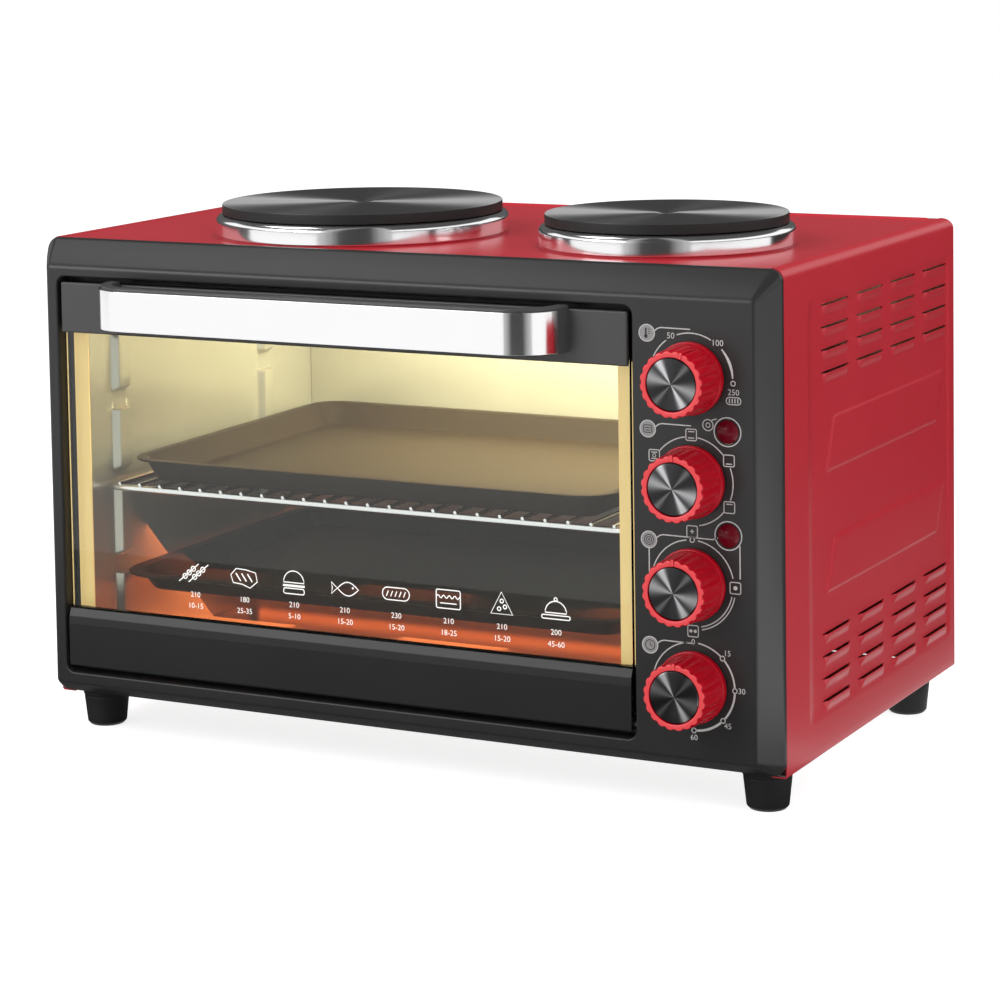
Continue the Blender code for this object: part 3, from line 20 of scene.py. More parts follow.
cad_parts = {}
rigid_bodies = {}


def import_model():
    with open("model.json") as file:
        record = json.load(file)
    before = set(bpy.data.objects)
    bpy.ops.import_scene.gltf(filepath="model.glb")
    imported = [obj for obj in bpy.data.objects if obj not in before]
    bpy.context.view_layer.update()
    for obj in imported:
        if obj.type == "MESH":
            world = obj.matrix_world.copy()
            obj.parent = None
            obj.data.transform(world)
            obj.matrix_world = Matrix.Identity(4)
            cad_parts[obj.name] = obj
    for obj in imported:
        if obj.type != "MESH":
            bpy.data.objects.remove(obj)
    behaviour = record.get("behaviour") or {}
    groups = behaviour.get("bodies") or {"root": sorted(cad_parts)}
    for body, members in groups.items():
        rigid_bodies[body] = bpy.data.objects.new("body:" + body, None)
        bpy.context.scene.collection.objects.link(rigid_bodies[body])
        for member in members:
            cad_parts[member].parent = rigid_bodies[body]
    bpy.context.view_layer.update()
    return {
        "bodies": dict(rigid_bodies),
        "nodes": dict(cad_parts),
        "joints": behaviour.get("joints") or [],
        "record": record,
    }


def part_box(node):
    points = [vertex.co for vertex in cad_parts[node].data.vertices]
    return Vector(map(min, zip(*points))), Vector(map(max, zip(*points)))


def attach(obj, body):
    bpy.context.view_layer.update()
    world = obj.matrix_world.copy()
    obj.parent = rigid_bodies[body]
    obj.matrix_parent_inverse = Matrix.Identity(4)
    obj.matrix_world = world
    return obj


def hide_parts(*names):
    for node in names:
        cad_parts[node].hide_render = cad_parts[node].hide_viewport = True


LOG = logging.getLogger("electric_oven")

Flat = tuple[float, float]
Colour = tuple[float, float, float]
Place = tuple[float, float, float]
Mark = tuple
Mesh = bpy.types.Mesh
Tree = bpy.types.NodeTree
Node = bpy.types.Node
Socket = bpy.types.NodeSocket

GAP = 0.0003
HAIR = 0.00003
MERGE = 0.000001
CORNER_SHARE = 0.49
TENTH = 0.0001
SPUN_MAP = "spun"
QUARTER = math.pi / 2


class Facing(Enum):
    """Direction in which a turned piece grows."""

    UP = "up"
    FRONT = "front"
    BACK = "back"
    LEFT = "left"
    RIGHT = "right"


class Grain(Enum):
    """Fine structure of a surface; RAYS and WEDGE also paint highlight streaks into the tone."""

    PEEL = "orange_peel"
    MOULDED = "moulded_grain"
    SPANGLE = "zinc_spangle"
    # RAYS and WEDGE are painted highlights: bright streaks laid into the colour at fixed turns round the
    # axis.
    RAYS = "spun_rays"
    WEDGE = "spun_wedge"
    DRAWN = "drawn_lines"
    SPECKLE = "enamel_speckle"


class Shape(Enum):
    """Form of a printed mark, and the numbers that follow the width of its line."""

    LINE = "open path: u, v of each point"
    LOOP = "closed path: u, v of each point"
    RING = "open circle: u, v, radius"
    DISC = "filled circle: u, v, radius"
    DOME = "half circle with its base: u, v, radius, steps"
    BOX = "open box: u, v, half width, half height, corner radius"


@dataclass(frozen=True)
class OvenSizes:
    """Sizes that more than one sub-assembly uses."""

    half_width: float = 0.260
    height: float = 0.303
    depth: float = 0.321
    sheet: float = 0.0008
    casing_top: float = 0.3035
    casing_front: float = 0.0203
    casing_lip: float = 0.0015
    fold_radius: float = 0.0075
    top_z: float = 0.3025
    open_x: Flat = (-0.242, 0.171)
    open_z: Flat = (0.0173, 0.2797)
    door_x: Flat = (-0.239, 0.168)
    door_z: Flat = (0.0218, 0.2760)
    glass_front: float = 0.004
    glass_back: float = 0.008
    door_back: float = 0.0120
    cavity_x: Flat = (-0.227, 0.156)
    cavity_y: Flat = (0.0149, 0.2979)
    cavity_z: Flat = (0.0220, 0.2700)
    shelves: tuple[float, float, float] = (0.0800, 0.1370, 0.1900)
    knob_x: float = 0.209
    knob_z: tuple[float, ...] = (0.2388, 0.1772, 0.1156, 0.0540)
    lens_x: float = 0.2322
    lens_z: Flat = (0.2080, 0.1464)
    hotplate_y: float = 0.118
    hotplates: tuple[tuple[str, float, float], ...] = (
        ("left", 0.0925, -0.0785), ("right", 0.0770, 0.1415))
    ring_out: float = 0.0041
    seat_height: float = 0.006
    frame_wire: float = 0.0022
    cross_wire: float = 0.0012
    wire_bite: float = 0.0006


# Outlines and profiles


def arc(centre: Flat, radius: float, start: float, end: float, steps: int) -> list[Flat]:
    """Points along a circular arc.

    Args:
        centre: Middle of the circle.
        radius: Its radius.
        start: First angle in degrees.
        end: Last angle in degrees.
        steps: Number of parts.

    Returns:
        steps + 1 points, both ends included.
    """
    points = []
    for step in range(steps + 1):
        angle = math.radians(start + (end - start) * step / steps)
        points.append((centre[0] + radius * math.cos(angle), centre[1] + radius * math.sin(angle)))
    return points


def rounded_box(low: Flat, high: Flat, radius: float, steps: int = 8) -> list[Flat]:
    """Outline of a rectangle with round corners, anticlockwise.

    Args:
        low: Lower left corner.
        high: Upper right corner.
        radius: Radius of the corners.
        steps: Parts in each corner.

    Returns:
        The outline's points.
    """
    corners = ((high[0] - radius, low[1] + radius, 270), (high[0] - radius, high[1] - radius, 0),
               (low[0] + radius, high[1] - radius, 90), (low[0] + radius, low[1] + radius, 180))
    points: list[Flat] = []
    for u, v, start in corners:
        points += arc((u, v), radius, start, start + 90, steps)
    return points


def inset_box(low: Flat, high: Flat, inset: float, radius: float, steps: int) -> list[Flat]:
    """Outline of a rounded rectangle that is moved in by a margin."""
    return rounded_box((low[0] + inset, low[1] + inset), (high[0] - inset, high[1] - inset), radius, steps)


def softened(path: Sequence[tuple[float, float, float]], steps: int = 5) -> list[Flat]:
    """Rounds the corners of an open path.

    Args:
        path: Corners as (u, v, radius), where a radius of 0 keeps the corner.
        steps: Parts in each rounding.

    Returns:
        The points of the rounded path.
    """
    points: list[Flat] = []
    for index, (u, v, radius) in enumerate(path):
        if radius == 0 or index in (0, len(path) - 1):
            points.append((u, v))
            continue
        here = Vector((u, v))
        back = Vector(path[index - 1][:2]) - here
        ahead = Vector(path[index + 1][:2]) - here
        reach = min(radius / math.tan(back.angle(ahead) / 2), back.length * CORNER_SHARE,
                    ahead.length * CORNER_SHARE)
        first = here + back.normalized() * reach
        last = here + ahead.normalized() * reach
        for step in range(steps + 1):
            share = step / steps
            point = first * (1 - share) ** 2 + here * (2 * share * (1 - share)) + last * share ** 2
            points.append((point.x, point.y))
    return points


def smooth_step(low: float, high: float, value: float) -> float:
    """Share from 0 at low to 1 at high, level at both ends."""
    share = min(1.0, max(0.0, (value - low) / (high - low)))
    return share * share * (3 - 2 * share)


def plateau(low: float, high: float, ramp: float, value: float) -> float:
    """1 between low and high, falling to 0 over a ramp inside each end."""
    return smooth_step(low, low + ramp, value) * (1 - smooth_step(high - ramp, high, value))


def spread(low: float, high: float, pitch: float) -> list[float]:
    """Evenly spaced values from low to high, no further apart than the pitch."""
    count = max(1, math.ceil((high - low) / pitch))
    return [low + (high - low) * step / count for step in range(count + 1)]


def sorted_lines(groups: Sequence[Sequence[float]], least: float) -> list[float]:
    """Merges grid lines; the first group is kept whole, others give way to it.

    Args:
        groups: Lists of places, the ones that have to stay first.
        least: Smallest distance between two lines.

    Returns:
        The sorted places.
    """
    kept: list[float] = []
    for group in groups:
        for value in group:
            if all(abs(value - other) >= least for other in kept):
                kept.append(value)
    return sorted(kept)


# Meshes


def linked(name: str, data: bpy.types.ID) -> bpy.types.Object:
    """New object in the scene."""
    thing = bpy.data.objects.new(name, data)
    bpy.context.scene.collection.objects.link(thing)
    return thing


def finished_mesh(bm: bmesh.types.BMesh, name: str) -> Mesh:
    """Merges doubles, turns the faces outward and frees the bmesh."""
    bmesh.ops.remove_doubles(bm, verts=bm.verts, dist=MERGE)
    bmesh.ops.recalc_face_normals(bm, faces=bm.faces)
    return freed_mesh(bm, name)


def freed_mesh(bm: bmesh.types.BMesh, name: str) -> Mesh:
    """Mesh of a bmesh, which is freed."""
    mesh = bpy.data.meshes.new(name)
    bm.to_mesh(mesh)
    bm.free()
    return mesh


def baked_mesh(thing: bpy.types.Object) -> Mesh:
    """Mesh of an object with its modifiers applied; the object is removed."""
    if thing.name not in bpy.context.scene.collection.objects:
        bpy.context.scene.collection.objects.link(thing)
    graph = bpy.context.evaluated_depsgraph_get()
    mesh = bpy.data.meshes.new_from_object(
        thing.evaluated_get(graph), preserve_all_data_layers=True, depsgraph=graph)
    bpy.data.objects.remove(thing)
    return mesh


def loft(name: str, rings: Sequence[Sequence[Vector]], closed: bool = False) -> Mesh:
    """Skin over rings of equal length.

    Args:
        name: Name of the mesh.
        rings: Rings of points, in order.
        closed: Whether the last ring joins the first; otherwise both ends get a face.

    Returns:
        A closed mesh.
    """
    bm = bmesh.new()
    loops = [[bm.verts.new(point) for point in ring] for ring in rings]
    count = len(loops[0])
    pairs = list(zip(loops, loops[1:])) + ([(loops[-1], loops[0])] if closed else [])
    for lower, upper in pairs:
        for index in range(count):
            after = (index + 1) % count
            bm.faces.new((lower[index], lower[after], upper[after], upper[index]))
    if not closed:
        bm.faces.new(loops[0])
        bm.faces.new(loops[-1])
    return finished_mesh(bm, name)


def towards(facing: Facing, across: float, along: float, rise: float) -> Vector:
    """Point of a turned piece whose axis looks in one direction."""
    return {
        Facing.UP: Vector((across, along, rise)),
        Facing.FRONT: Vector((across, -rise, along)),
        Facing.BACK: Vector((across, rise, along)),
        Facing.LEFT: Vector((-rise, across, along)),
        Facing.RIGHT: Vector((rise, across, along)),
    }[facing]


def lathe(name: str, profile: Sequence[Flat], place: Vector, facing: Facing = Facing.UP,
          steps: int = 96, ring: bool = False) -> Mesh:
    """Turned piece with a UV map whose U runs round and whose V is the radius.

    Args:
        name: Name of the mesh.
        profile: Points as (radius, rise); radius 0 makes a pole.
        place: Where the axis stands.
        facing: Direction of the rise.
        steps: Parts round the axis.
        ring: Whether the profile closes on itself.

    Returns:
        A closed mesh.
    """
    bm = bmesh.new()
    uv_layer = bm.loops.layers.uv.new("spun")
    rows = []
    for radius, rise in profile:
        count = 1 if radius < 1e-7 else steps
        rows.append([bm.verts.new(place + towards(facing, radius * math.cos(2 * math.pi * k / steps),
                                                  radius * math.sin(2 * math.pi * k / steps), rise))
                     for k in range(count)])
    last = len(profile) - 1
    pairs = [(index, index + 1) for index in range(last)] + ([(last, 0)] if ring else [])
    for first, second in pairs:
        for k in range(steps):
            corners = [(first, k), (first, k + 1), (second, k + 1), (second, k)]
            verts, marks = [], []
            for row, column in corners:
                vert = rows[row][column % len(rows[row])]
                if vert not in verts:
                    verts.append(vert)
                    marks.append((column / steps, profile[row][0]))
            if len(verts) > 2:
                face = bm.faces.new(verts)
                for loop, mark in zip(face.loops, marks):
                    loop[uv_layer].uv = mark
    return finished_mesh(bm, name)


def prism(name: str, outline: Sequence[Flat], axis: str, low: float, high: float) -> Mesh:
    """Outline pushed through along one axis.

    Args:
        name: Name of the mesh.
        outline: Points in the plane across the axis.
        axis: X, Y or Z.
        low: Where it starts on the axis.
        high: Where it ends.

    Returns:
        A closed mesh.
    """
    order = {"X": lambda u, v, w: Vector((w, u, v)), "Y": lambda u, v, w: Vector((u, w, v)),
             "Z": lambda u, v, w: Vector((u, v, w))}[axis]
    return loft(name, [[order(u, v, w) for u, v in outline] for w in (low, high)])


def block(name: str, low: Sequence[float], high: Sequence[float]) -> Mesh:
    """Box between two corners, meant to be softened or cut."""
    outline = [(low[0], low[1]), (high[0], low[1]), (high[0], high[1]), (low[0], high[1])]
    return prism(name, outline, "Z", low[2], high[2])


def sheet_band(path: Sequence[Flat], thickness: float) -> list[Flat]:
    """Closed outline of a bent sheet, thickened to the left of its path."""
    offset = []
    for index, point in enumerate(path):
        runs = [(index + step, index + step + 1) for step in (-1, 0)]
        sides = []
        for first, second in runs:
            if first >= 0 and second < len(path):
                along = (Vector(path[second]) - Vector(path[first])).normalized()
                sides.append(Vector((-along.y, along.x)))
        middle = sum(sides, Vector((0, 0))).normalized()
        offset.append(tuple(Vector(point) + middle * (thickness / middle.dot(sides[0]))))
    return list(path) + offset[::-1]


def modified(name: str, mesh: Mesh, kind: str, **values: object) -> Mesh:
    """A mesh after one modifier with the given settings."""
    thing = bpy.data.objects.new(name, mesh)
    modifier = thing.modifiers.new(name, kind)
    for key, value in values.items():
        setattr(modifier, key, value)
    return baked_mesh(thing)


def joined(name: str, meshes: Sequence[Mesh]) -> Mesh:
    """One mesh of several, which keep their own material numbers."""
    bm = bmesh.new()
    for mesh in meshes:
        bm.from_mesh(mesh)
    result = freed_mesh(bm, name)
    for material in meshes[0].materials:
        result.materials.append(material)
    return result


def numbered(mesh: Mesh, number: int) -> Mesh:
    """The mesh with every face set to one material number."""
    for face in mesh.polygons:
        face.material_index = number
    return mesh


def combined(mesh: Mesh, others: Sequence[Mesh], operation: str) -> Mesh:
    """Exact Boolean of one mesh with others."""
    thing = bpy.data.objects.new(mesh.name, mesh)
    tools = [linked(other.name, other) for other in others]
    for tool in tools:
        modifier = thing.modifiers.new("cut", "BOOLEAN")
        modifier.operation = operation
        modifier.solver = "EXACT"
        modifier.object = tool
    result = baked_mesh(thing)
    for tool in tools:
        bpy.data.objects.remove(tool)
    return result


def weighted(mesh: Mesh, bevel: float = 0.0, segments: int = 3,
             angle: float = 30.0) -> Mesh:
    """Softens the sharp edges and lets the wide faces rule the shading.

    Args:
        mesh: The mesh to treat.
        bevel: Width of the rounding, or 0 for none.
        segments: Parts in the rounding.
        angle: Edges sharper than this are rounded, in degrees.

    Returns:
        The treated mesh.
    """
    thing = bpy.data.objects.new(mesh.name, mesh)
    mesh.shade_smooth()
    if bevel:
        modifier = thing.modifiers.new("rounding", "BEVEL")
        modifier.width = bevel
        modifier.segments = segments
        modifier.limit_method = "ANGLE"
        modifier.angle_limit = math.radians(angle)
        modifier.miter_outer = "MITER_ARC"
    else:
        mesh.set_sharp_from_angle(angle=math.radians(angle))
    modifier = thing.modifiers.new("wide_faces", "WEIGHTED_NORMAL")
    modifier.keep_sharp = True
    return baked_mesh(thing)


def sheet_grid(name: str, points: Sequence[Sequence[Vector]], thickness: float, outward: Vector,
               skip: Callable[[int, int], bool] = lambda row, column: False) -> Mesh:
    """Pressed sheet over a grid of points, thickened inward.

    Args:
        name: Name of the mesh.
        points: Rows of points.
        thickness: Sheet thickness.
        outward: Rough direction of the outside.
        skip: Tells which cells stay open.

    Returns:
        A closed mesh.
    """
    bm = bmesh.new()
    grid = [[bm.verts.new(point) for point in row] for row in points]
    for row in range(len(grid) - 1):
        for column in range(len(grid[0]) - 1):
            if not skip(row, column):
                bm.faces.new((grid[row][column], grid[row][column + 1],
                              grid[row + 1][column + 1], grid[row + 1][column]))
    bm.normal_update()
    lean = sum((face.normal.dot(outward) * face.calc_area() for face in bm.faces), 0.0)
    if lean < 0:
        bmesh.ops.reverse_faces(bm, faces=bm.faces)
    return modified(name, freed_mesh(bm, name), "SOLIDIFY", thickness=thickness, offset=-1)


# Geometry Nodes


def fill(tree: Tree, node: Node, inputs: dict[object, object]) -> None:
    """Sets the inputs of a node: sockets are linked, all else is a value."""
    for key, value in inputs.items():
        if isinstance(value, Socket):
            tree.links.new(value, node.inputs[key])
        else:
            node.inputs[key].default_value = value


def add_node(tree: Tree, kind: str, inputs: Optional[dict[object, object]] = None,
             **values: object) -> Node:
    """Adds a node with its properties, then fills its inputs."""
    node = tree.nodes.new(kind)
    for key, value in values.items():
        setattr(node, key, value)
    fill(tree, node, inputs or {})
    return node


class NodeTree:
    """A Geometry Nodes tree with named inputs that ends in a plain mesh."""

    def __init__(self, name: str, inputs: dict[str, str]) -> None:
        """Makes the tree and its sockets.

        Args:
            name: Name of the tree.
            inputs: Socket type of each named input after the geometry.
        """
        self.tree = bpy.data.node_groups.new(name, "GeometryNodeTree")
        face = self.tree.interface
        self.ports = {}
        for label, kind in {"Geometry": "Geometry", **inputs, "Finish": "Material"}.items():
            item = face.new_socket(name=label, in_out="INPUT", socket_type="NodeSocket" + kind)
            self.ports[label] = item.identifier
        face.new_socket(name="Geometry", in_out="OUTPUT", socket_type="NodeSocketGeometry")
        self.start = self.add("NodeGroupInput").outputs

    def add(self, kind: str, inputs: Optional[dict[object, object]] = None, **values: object) -> Node:
        """Adds a node and fills its inputs."""
        return add_node(self.tree, kind, inputs, **values)

    def finish(self, source: Socket) -> None:
        """Realizes the result and gives it the material input."""
        real = self.add("GeometryNodeRealizeInstances", {"Geometry": source})
        paint = self.add("GeometryNodeSetMaterial", {"Geometry": real.outputs["Geometry"],
                                                     "Material": self.start["Finish"]})
        self.add("NodeGroupOutput", {"Geometry": paint.outputs["Geometry"]})

    def run(self, name: str, base: Mesh, values: dict[str, object]) -> Mesh:
        """Runs the tree on a mesh.

        Args:
            name: Name of the result.
            base: Mesh of points or edges.
            values: Value of each named input.

        Returns:
            The result as a plain mesh.
        """
        thing = bpy.data.objects.new(name, base)
        modifier = thing.modifiers.new(name, "NODES")
        modifier.node_group = self.tree
        for label, value in values.items():
            modifier[self.ports[label]] = value
        return baked_mesh(thing)


def pattern_tree() -> NodeTree:
    """Tree that sets one pattern on every point, turned by the point's own angles."""
    tree = NodeTree("pattern_on_points", {"Pattern": "Object", "Spin": "Float", "Seed": "Int"})
    start = tree.start
    pattern = tree.add("GeometryNodeObjectInfo", {"Object": start["Pattern"]})
    facing = tree.add("GeometryNodeInputNamedAttribute", {"Name": "facing"}, data_type="FLOAT_VECTOR")
    turn = tree.add("FunctionNodeEulerToRotation", {"Euler": facing.outputs["Attribute"]})
    chance = tree.add("FunctionNodeRandomValue", {3: start["Spin"], "Seed": start["Seed"]},
                      data_type="FLOAT")
    spin = tree.add("FunctionNodeAxisAngleToRotation", {"Axis": (0, 0, 1), "Angle": chance.outputs[1]})
    both = tree.add("FunctionNodeRotateRotation", {"Rotation": turn.outputs["Rotation"],
                                                   "Rotate By": spin.outputs["Rotation"]},
                    rotation_space="LOCAL")
    copies = tree.add("GeometryNodeInstanceOnPoints", {
        "Points": start["Geometry"], "Instance": pattern.outputs["Geometry"],
        "Rotation": both.outputs["Rotation"]})
    tree.finish(copies.outputs["Instances"])
    return tree


def wire_tree() -> NodeTree:
    """Tree that draws a round wire along the edges of a mesh."""
    tree = NodeTree("wire_along_path", {"Radius": "Float", "Sides": "Int"})
    start = tree.start
    path = tree.add("GeometryNodeMeshToCurve", {"Mesh": start["Geometry"]})
    circle = tree.add("GeometryNodeCurvePrimitiveCircle", {"Radius": start["Radius"],
                                                           "Resolution": start["Sides"]})
    sweep = tree.add("GeometryNodeCurveToMesh", {
        "Curve": path.outputs["Curve"], "Profile Curve": circle.outputs["Curve"], "Fill Caps": True})
    tree.finish(sweep.outputs["Mesh"])
    return tree


def point_mesh(name: str, places: Sequence[tuple[Vector, tuple[float, float, float]]]) -> Mesh:
    """Mesh of loose points with the angles that turn a pattern there."""
    mesh = bpy.data.meshes.new(name)
    mesh.from_pydata([place for place, _angles in places], [], [])
    layer = mesh.attributes.new("facing", "FLOAT_VECTOR", "POINT")
    for index, (_place, angles) in enumerate(places):
        layer.data[index].vector = angles
    return mesh


def path_mesh(name: str, points: Sequence[Vector], closed: bool) -> Mesh:
    """Mesh of one row of edges."""
    mesh = bpy.data.meshes.new(name)
    edges = [(index, index + 1) for index in range(len(points) - 1)]
    if closed:
        edges.append((len(points) - 1, 0))
    mesh.from_pydata(list(points), edges, [])
    return mesh


# Finishes


class EffectLibrary:
    """Shader node groups that the finishes share."""

    def __init__(self) -> None:
        """Starts with no group built."""
        self.groups: dict[str, Tree] = {}

    def group(self, name: str, inputs: Sequence[str], draw: Callable[..., tuple[Socket, Socket]]) -> Tree:
        """A group with the outputs Height and Tone, built at its first use.

        Args:
            name: Name of the group.
            inputs: Number inputs after the Vector.
            draw: Method that draws it from the tree and its input sockets.

        Returns:
            The group.
        """
        if name not in self.groups:
            tree = bpy.data.node_groups.new(name, "ShaderNodeTree")
            sockets = [("Vector", "INPUT", "Vector"), *((label, "INPUT", "Float") for label in inputs),
                       ("Height", "OUTPUT", "Float"), ("Tone", "OUTPUT", "Float")]
            for label, way, kind in sockets:
                tree.interface.new_socket(name=label, in_out=way, socket_type="NodeSocket" + kind)
            start = add_node(tree, "NodeGroupInput").outputs
            height, tone = draw(tree, start["Vector"], *(start[label] for label in inputs))
            add_node(tree, "NodeGroupOutput", {"Height": height, "Tone": tone})
            self.groups[name] = tree
        return self.groups[name]

    def grain(self, grain: Grain) -> Tree:
        """The group of one grain, with the inputs Vector and Scale."""
        return self.group(grain.value, ("Scale",), getattr(self, "draw_" + grain.name.lower()))

    def drift(self) -> Tree:
        """Slow change of tone with a trace of dust, used by every finish."""
        return self.group("tone_drift", ("Scale", "Dust"), self.draw_drift)

    @staticmethod
    def noise(tree: Tree, vector: Socket, scale: object, detail: float = 2.0,
              dimensions: str = "3D") -> Socket:
        """Noise texture on a vector, or on one value when it has one dimension.

        Args:
            tree: Tree to draw in.
            vector: Socket with the place.
            scale: Number, or a socket with the scale.
            detail: Octaves.
            dimensions: 3D or 1D.

        Returns:
            The socket with the noise from 0 to 1.
        """
        place = "W" if dimensions == "1D" else "Vector"
        return add_node(tree, "ShaderNodeTexNoise", {"Detail": detail, place: vector, "Scale": scale},
                        noise_dimensions=dimensions).outputs[0]

    @staticmethod
    def maths(tree: Tree, operation: str, *values: object, clamp: bool = False) -> Socket:
        """Math node on numbers and sockets."""
        return add_node(tree, "ShaderNodeMath", dict(enumerate(values)), operation=operation,
                        use_clamp=clamp).outputs[0]

    def draw_peel(self, tree: Tree, vector: Socket, scale: Socket) -> tuple[Socket, Socket]:
        """Soft waves of sprayed enamel; tone wanders slowly."""
        return self.noise(tree, vector, scale, 1.0), self.noise(tree, vector, 9.0)

    def draw_moulded(self, tree: Tree, vector: Socket, scale: Socket) -> tuple[Socket, Socket]:
        """Fine eroded grain of moulded plastic."""
        cells = add_node(tree, "ShaderNodeTexVoronoi", {"Vector": vector, "Scale": scale})
        fine = self.noise(tree, vector, scale, 3.0)
        height = self.maths(tree, "ADD", cells.outputs["Distance"], fine)
        return height, self.noise(tree, vector, 22.0, 3.0)

    def draw_spangle(self, tree: Tree, vector: Socket, scale: Socket) -> tuple[Socket, Socket]:
        """Flat crystals of a zinc coat, each with its own tone."""
        cells = add_node(tree, "ShaderNodeTexVoronoi", {"Vector": vector, "Scale": scale})
        parts = add_node(tree, "ShaderNodeSeparateColor", {"Color": cells.outputs["Color"]})
        tone = self.maths(tree, "MULTIPLY_ADD", parts.outputs["Red"], 0.45, 0.0)
        tone = self.maths(tree, "MULTIPLY_ADD", self.noise(tree, vector, 14.0, 3.0), 0.55, tone)
        return self.noise(tree, vector, scale, 4.0), tone

    def draw_rays(self, tree: Tree, vector: Socket, scale: Socket) -> tuple[Socket, Socket]:
        """Lathe rings with painted highlights: the bright streaks that light draws across spun metal."""
        return self.rays(tree, vector, scale, ((0.335, 40.0, 1.0), (0.455, 12.0, 0.55), (0.13, 60.0, 0.25)))

    def draw_wedge(self, tree: Tree, vector: Socket, scale: Socket) -> tuple[Socket, Socket]:
        """Lathe rings of a large plate with one broad painted highlight wedge."""
        return self.rays(tree, vector, scale, ((0.052, 6.0, 1.0), (0.075, 50.0, 0.75)))

    def rays(self, tree: Tree, vector: Socket, scale: Socket,
             rays: Sequence[tuple[float, float, float]]) -> tuple[Socket, Socket]:
        """Lathe rings under pairs of opposite painted highlight streaks, read from the piece's own UV map.

        Args:
            tree: The effect's tree.
            vector: Its place: turns round the axis, then the radius.
            scale: Its scale.
            rays: Direction in turns, sharpness and strength of each pair of painted highlights.

        Returns:
            The sockets of height and of the tone that carries the painted highlights.
        """
        parts = add_node(tree, "ShaderNodeSeparateXYZ", {"Vector": vector}).outputs
        tone: object = 0.0
        # Each pair is a painted highlight, a bright streak of tone on both sides of the axis.
        for phase, narrow, bright in rays:
            wave = self.maths(tree, "MULTIPLY_ADD", parts["X"], 4 * math.pi, -4 * math.pi * phase)
            wave = self.maths(tree, "MULTIPLY_ADD", self.maths(tree, "COSINE", wave), 0.5, 0.5)
            wave = self.maths(tree, "MULTIPLY", self.maths(tree, "POWER", wave, narrow), bright)
            tone = self.maths(tree, "MAXIMUM", wave, tone)
        return self.noise(tree, parts["Y"], scale, 3.0, "1D"), tone

    def draw_drawn(self, tree: Tree, vector: Socket, scale: Socket) -> tuple[Socket, Socket]:
        """Long faint lines along X, as on a polished strip or rolled sheet."""
        squeeze = add_node(tree, "ShaderNodeVectorMath", {0: vector, 1: (0.02, 1.0, 1.0)},
                           operation="MULTIPLY")
        return self.noise(tree, squeeze.outputs[0], scale, 3.0), self.noise(tree, vector, 30.0)

    def draw_speckle(self, tree: Tree, vector: Socket, scale: Socket) -> tuple[Socket, Socket]:
        """Vitreous enamel with small light flecks."""
        flecks = self.noise(tree, vector, scale, 1.0)
        return (self.noise(tree, vector, 260.0),
                self.maths(tree, "MULTIPLY_ADD", flecks, 7.0, -4.2, clamp=True))

    def draw_drift(self, tree: Tree, vector: Socket, scale: Socket, dust: Socket) -> tuple[Socket, Socket]:
        """Slow clouds under fine dust."""
        fine = self.noise(tree, vector, 700.0)
        specks = self.maths(tree, "MULTIPLY", fine, dust)
        return fine, self.maths(tree, "ADD", self.noise(tree, vector, scale), specks)


@dataclass(frozen=True)
class Finish:
    """One surface finish: colours, gloss and fine structure; for the spun grains the second colour is a
    painted highlight.
    """

    name: str
    base: Colour
    tint: Colour
    rough: Flat
    grain: Grain
    pitch: float
    relief: float
    metallic: float = 0.0
    specular: float = 0.5
    ior: float = 1.5
    transmission: float = 0.0
    anisotropy: float = 0.0
    glow: Colour = (1.0, 1.0, 1.0)
    glow_power: float = 0.0
    share: float = 0.6
    drift_scale: float = 8.0
    dust: float = 0.1

    def build(self, effects: EffectLibrary) -> bpy.types.Material:
        """Makes the material.

        Args:
            effects: Library with the shared groups.

        Returns:
            A node material named after the finish.
        """
        material = bpy.data.materials.new(self.name)
        material.use_nodes = True
        tree = material.node_tree
        place = add_node(tree, "ShaderNodeTexCoord").outputs["Object"]
        own = place
        # The spun grains place their painted highlight streaks by the turn round the axis, read from the UV
        # map.
        if self.grain in (Grain.RAYS, Grain.WEDGE):
            own = add_node(tree, "ShaderNodeUVMap", uv_map=SPUN_MAP).outputs["UV"]
        grain = add_node(tree, "ShaderNodeGroup", {"Vector": own, "Scale": 1.0 / self.pitch},
                         node_tree=effects.grain(self.grain)).outputs
        drift = add_node(tree, "ShaderNodeGroup", {
            "Vector": place, "Scale": self.drift_scale, "Dust": self.dust},
                         node_tree=effects.drift()).outputs
        # Tone blends the base into the second colour; with the spun grains that colour is a painted
        # highlight.
        tone = effects.maths(tree, "MULTIPLY", grain["Tone"], drift["Tone"])
        tone = effects.maths(tree, "MULTIPLY", tone, 2.0 * self.share, clamp=True)
        blend = add_node(tree, "ShaderNodeMix", {0: tone, 6: (*self.base, 1.0), 7: (*self.tint, 1.0)},
                         data_type="RGBA")
        gloss = effects.maths(tree, "MULTIPLY_ADD", grain["Tone"],
                              self.rough[1] - self.rough[0], self.rough[0])
        wanted: dict[object, object] = {
            "Base Color": blend.outputs[2], "Roughness": gloss, "Metallic": self.metallic,
            "Specular IOR Level": self.specular, "IOR": self.ior,
            "Transmission Weight": self.transmission}
        if self.relief:
            bump = add_node(tree, "ShaderNodeBump", {"Distance": self.relief, "Height": grain["Height"]})
            wanted["Normal"] = bump.outputs["Normal"]
        if self.anisotropy:
            tangent = add_node(tree, "ShaderNodeTangent", direction_type="UV_MAP", uv_map=SPUN_MAP)
            wanted.update({"Anisotropic": self.anisotropy, "Anisotropic Rotation": 0.25,
                           "Tangent": tangent.outputs["Tangent"]})
        if self.glow_power:
            wanted.update({"Emission Color": (*self.glow, 1.0), "Emission Strength": self.glow_power})
        fill(tree, tree.nodes["Principled BSDF"], wanted)
        return material


def grey(level: float) -> Colour:
    """Neutral colour."""
    return (level, level, level)


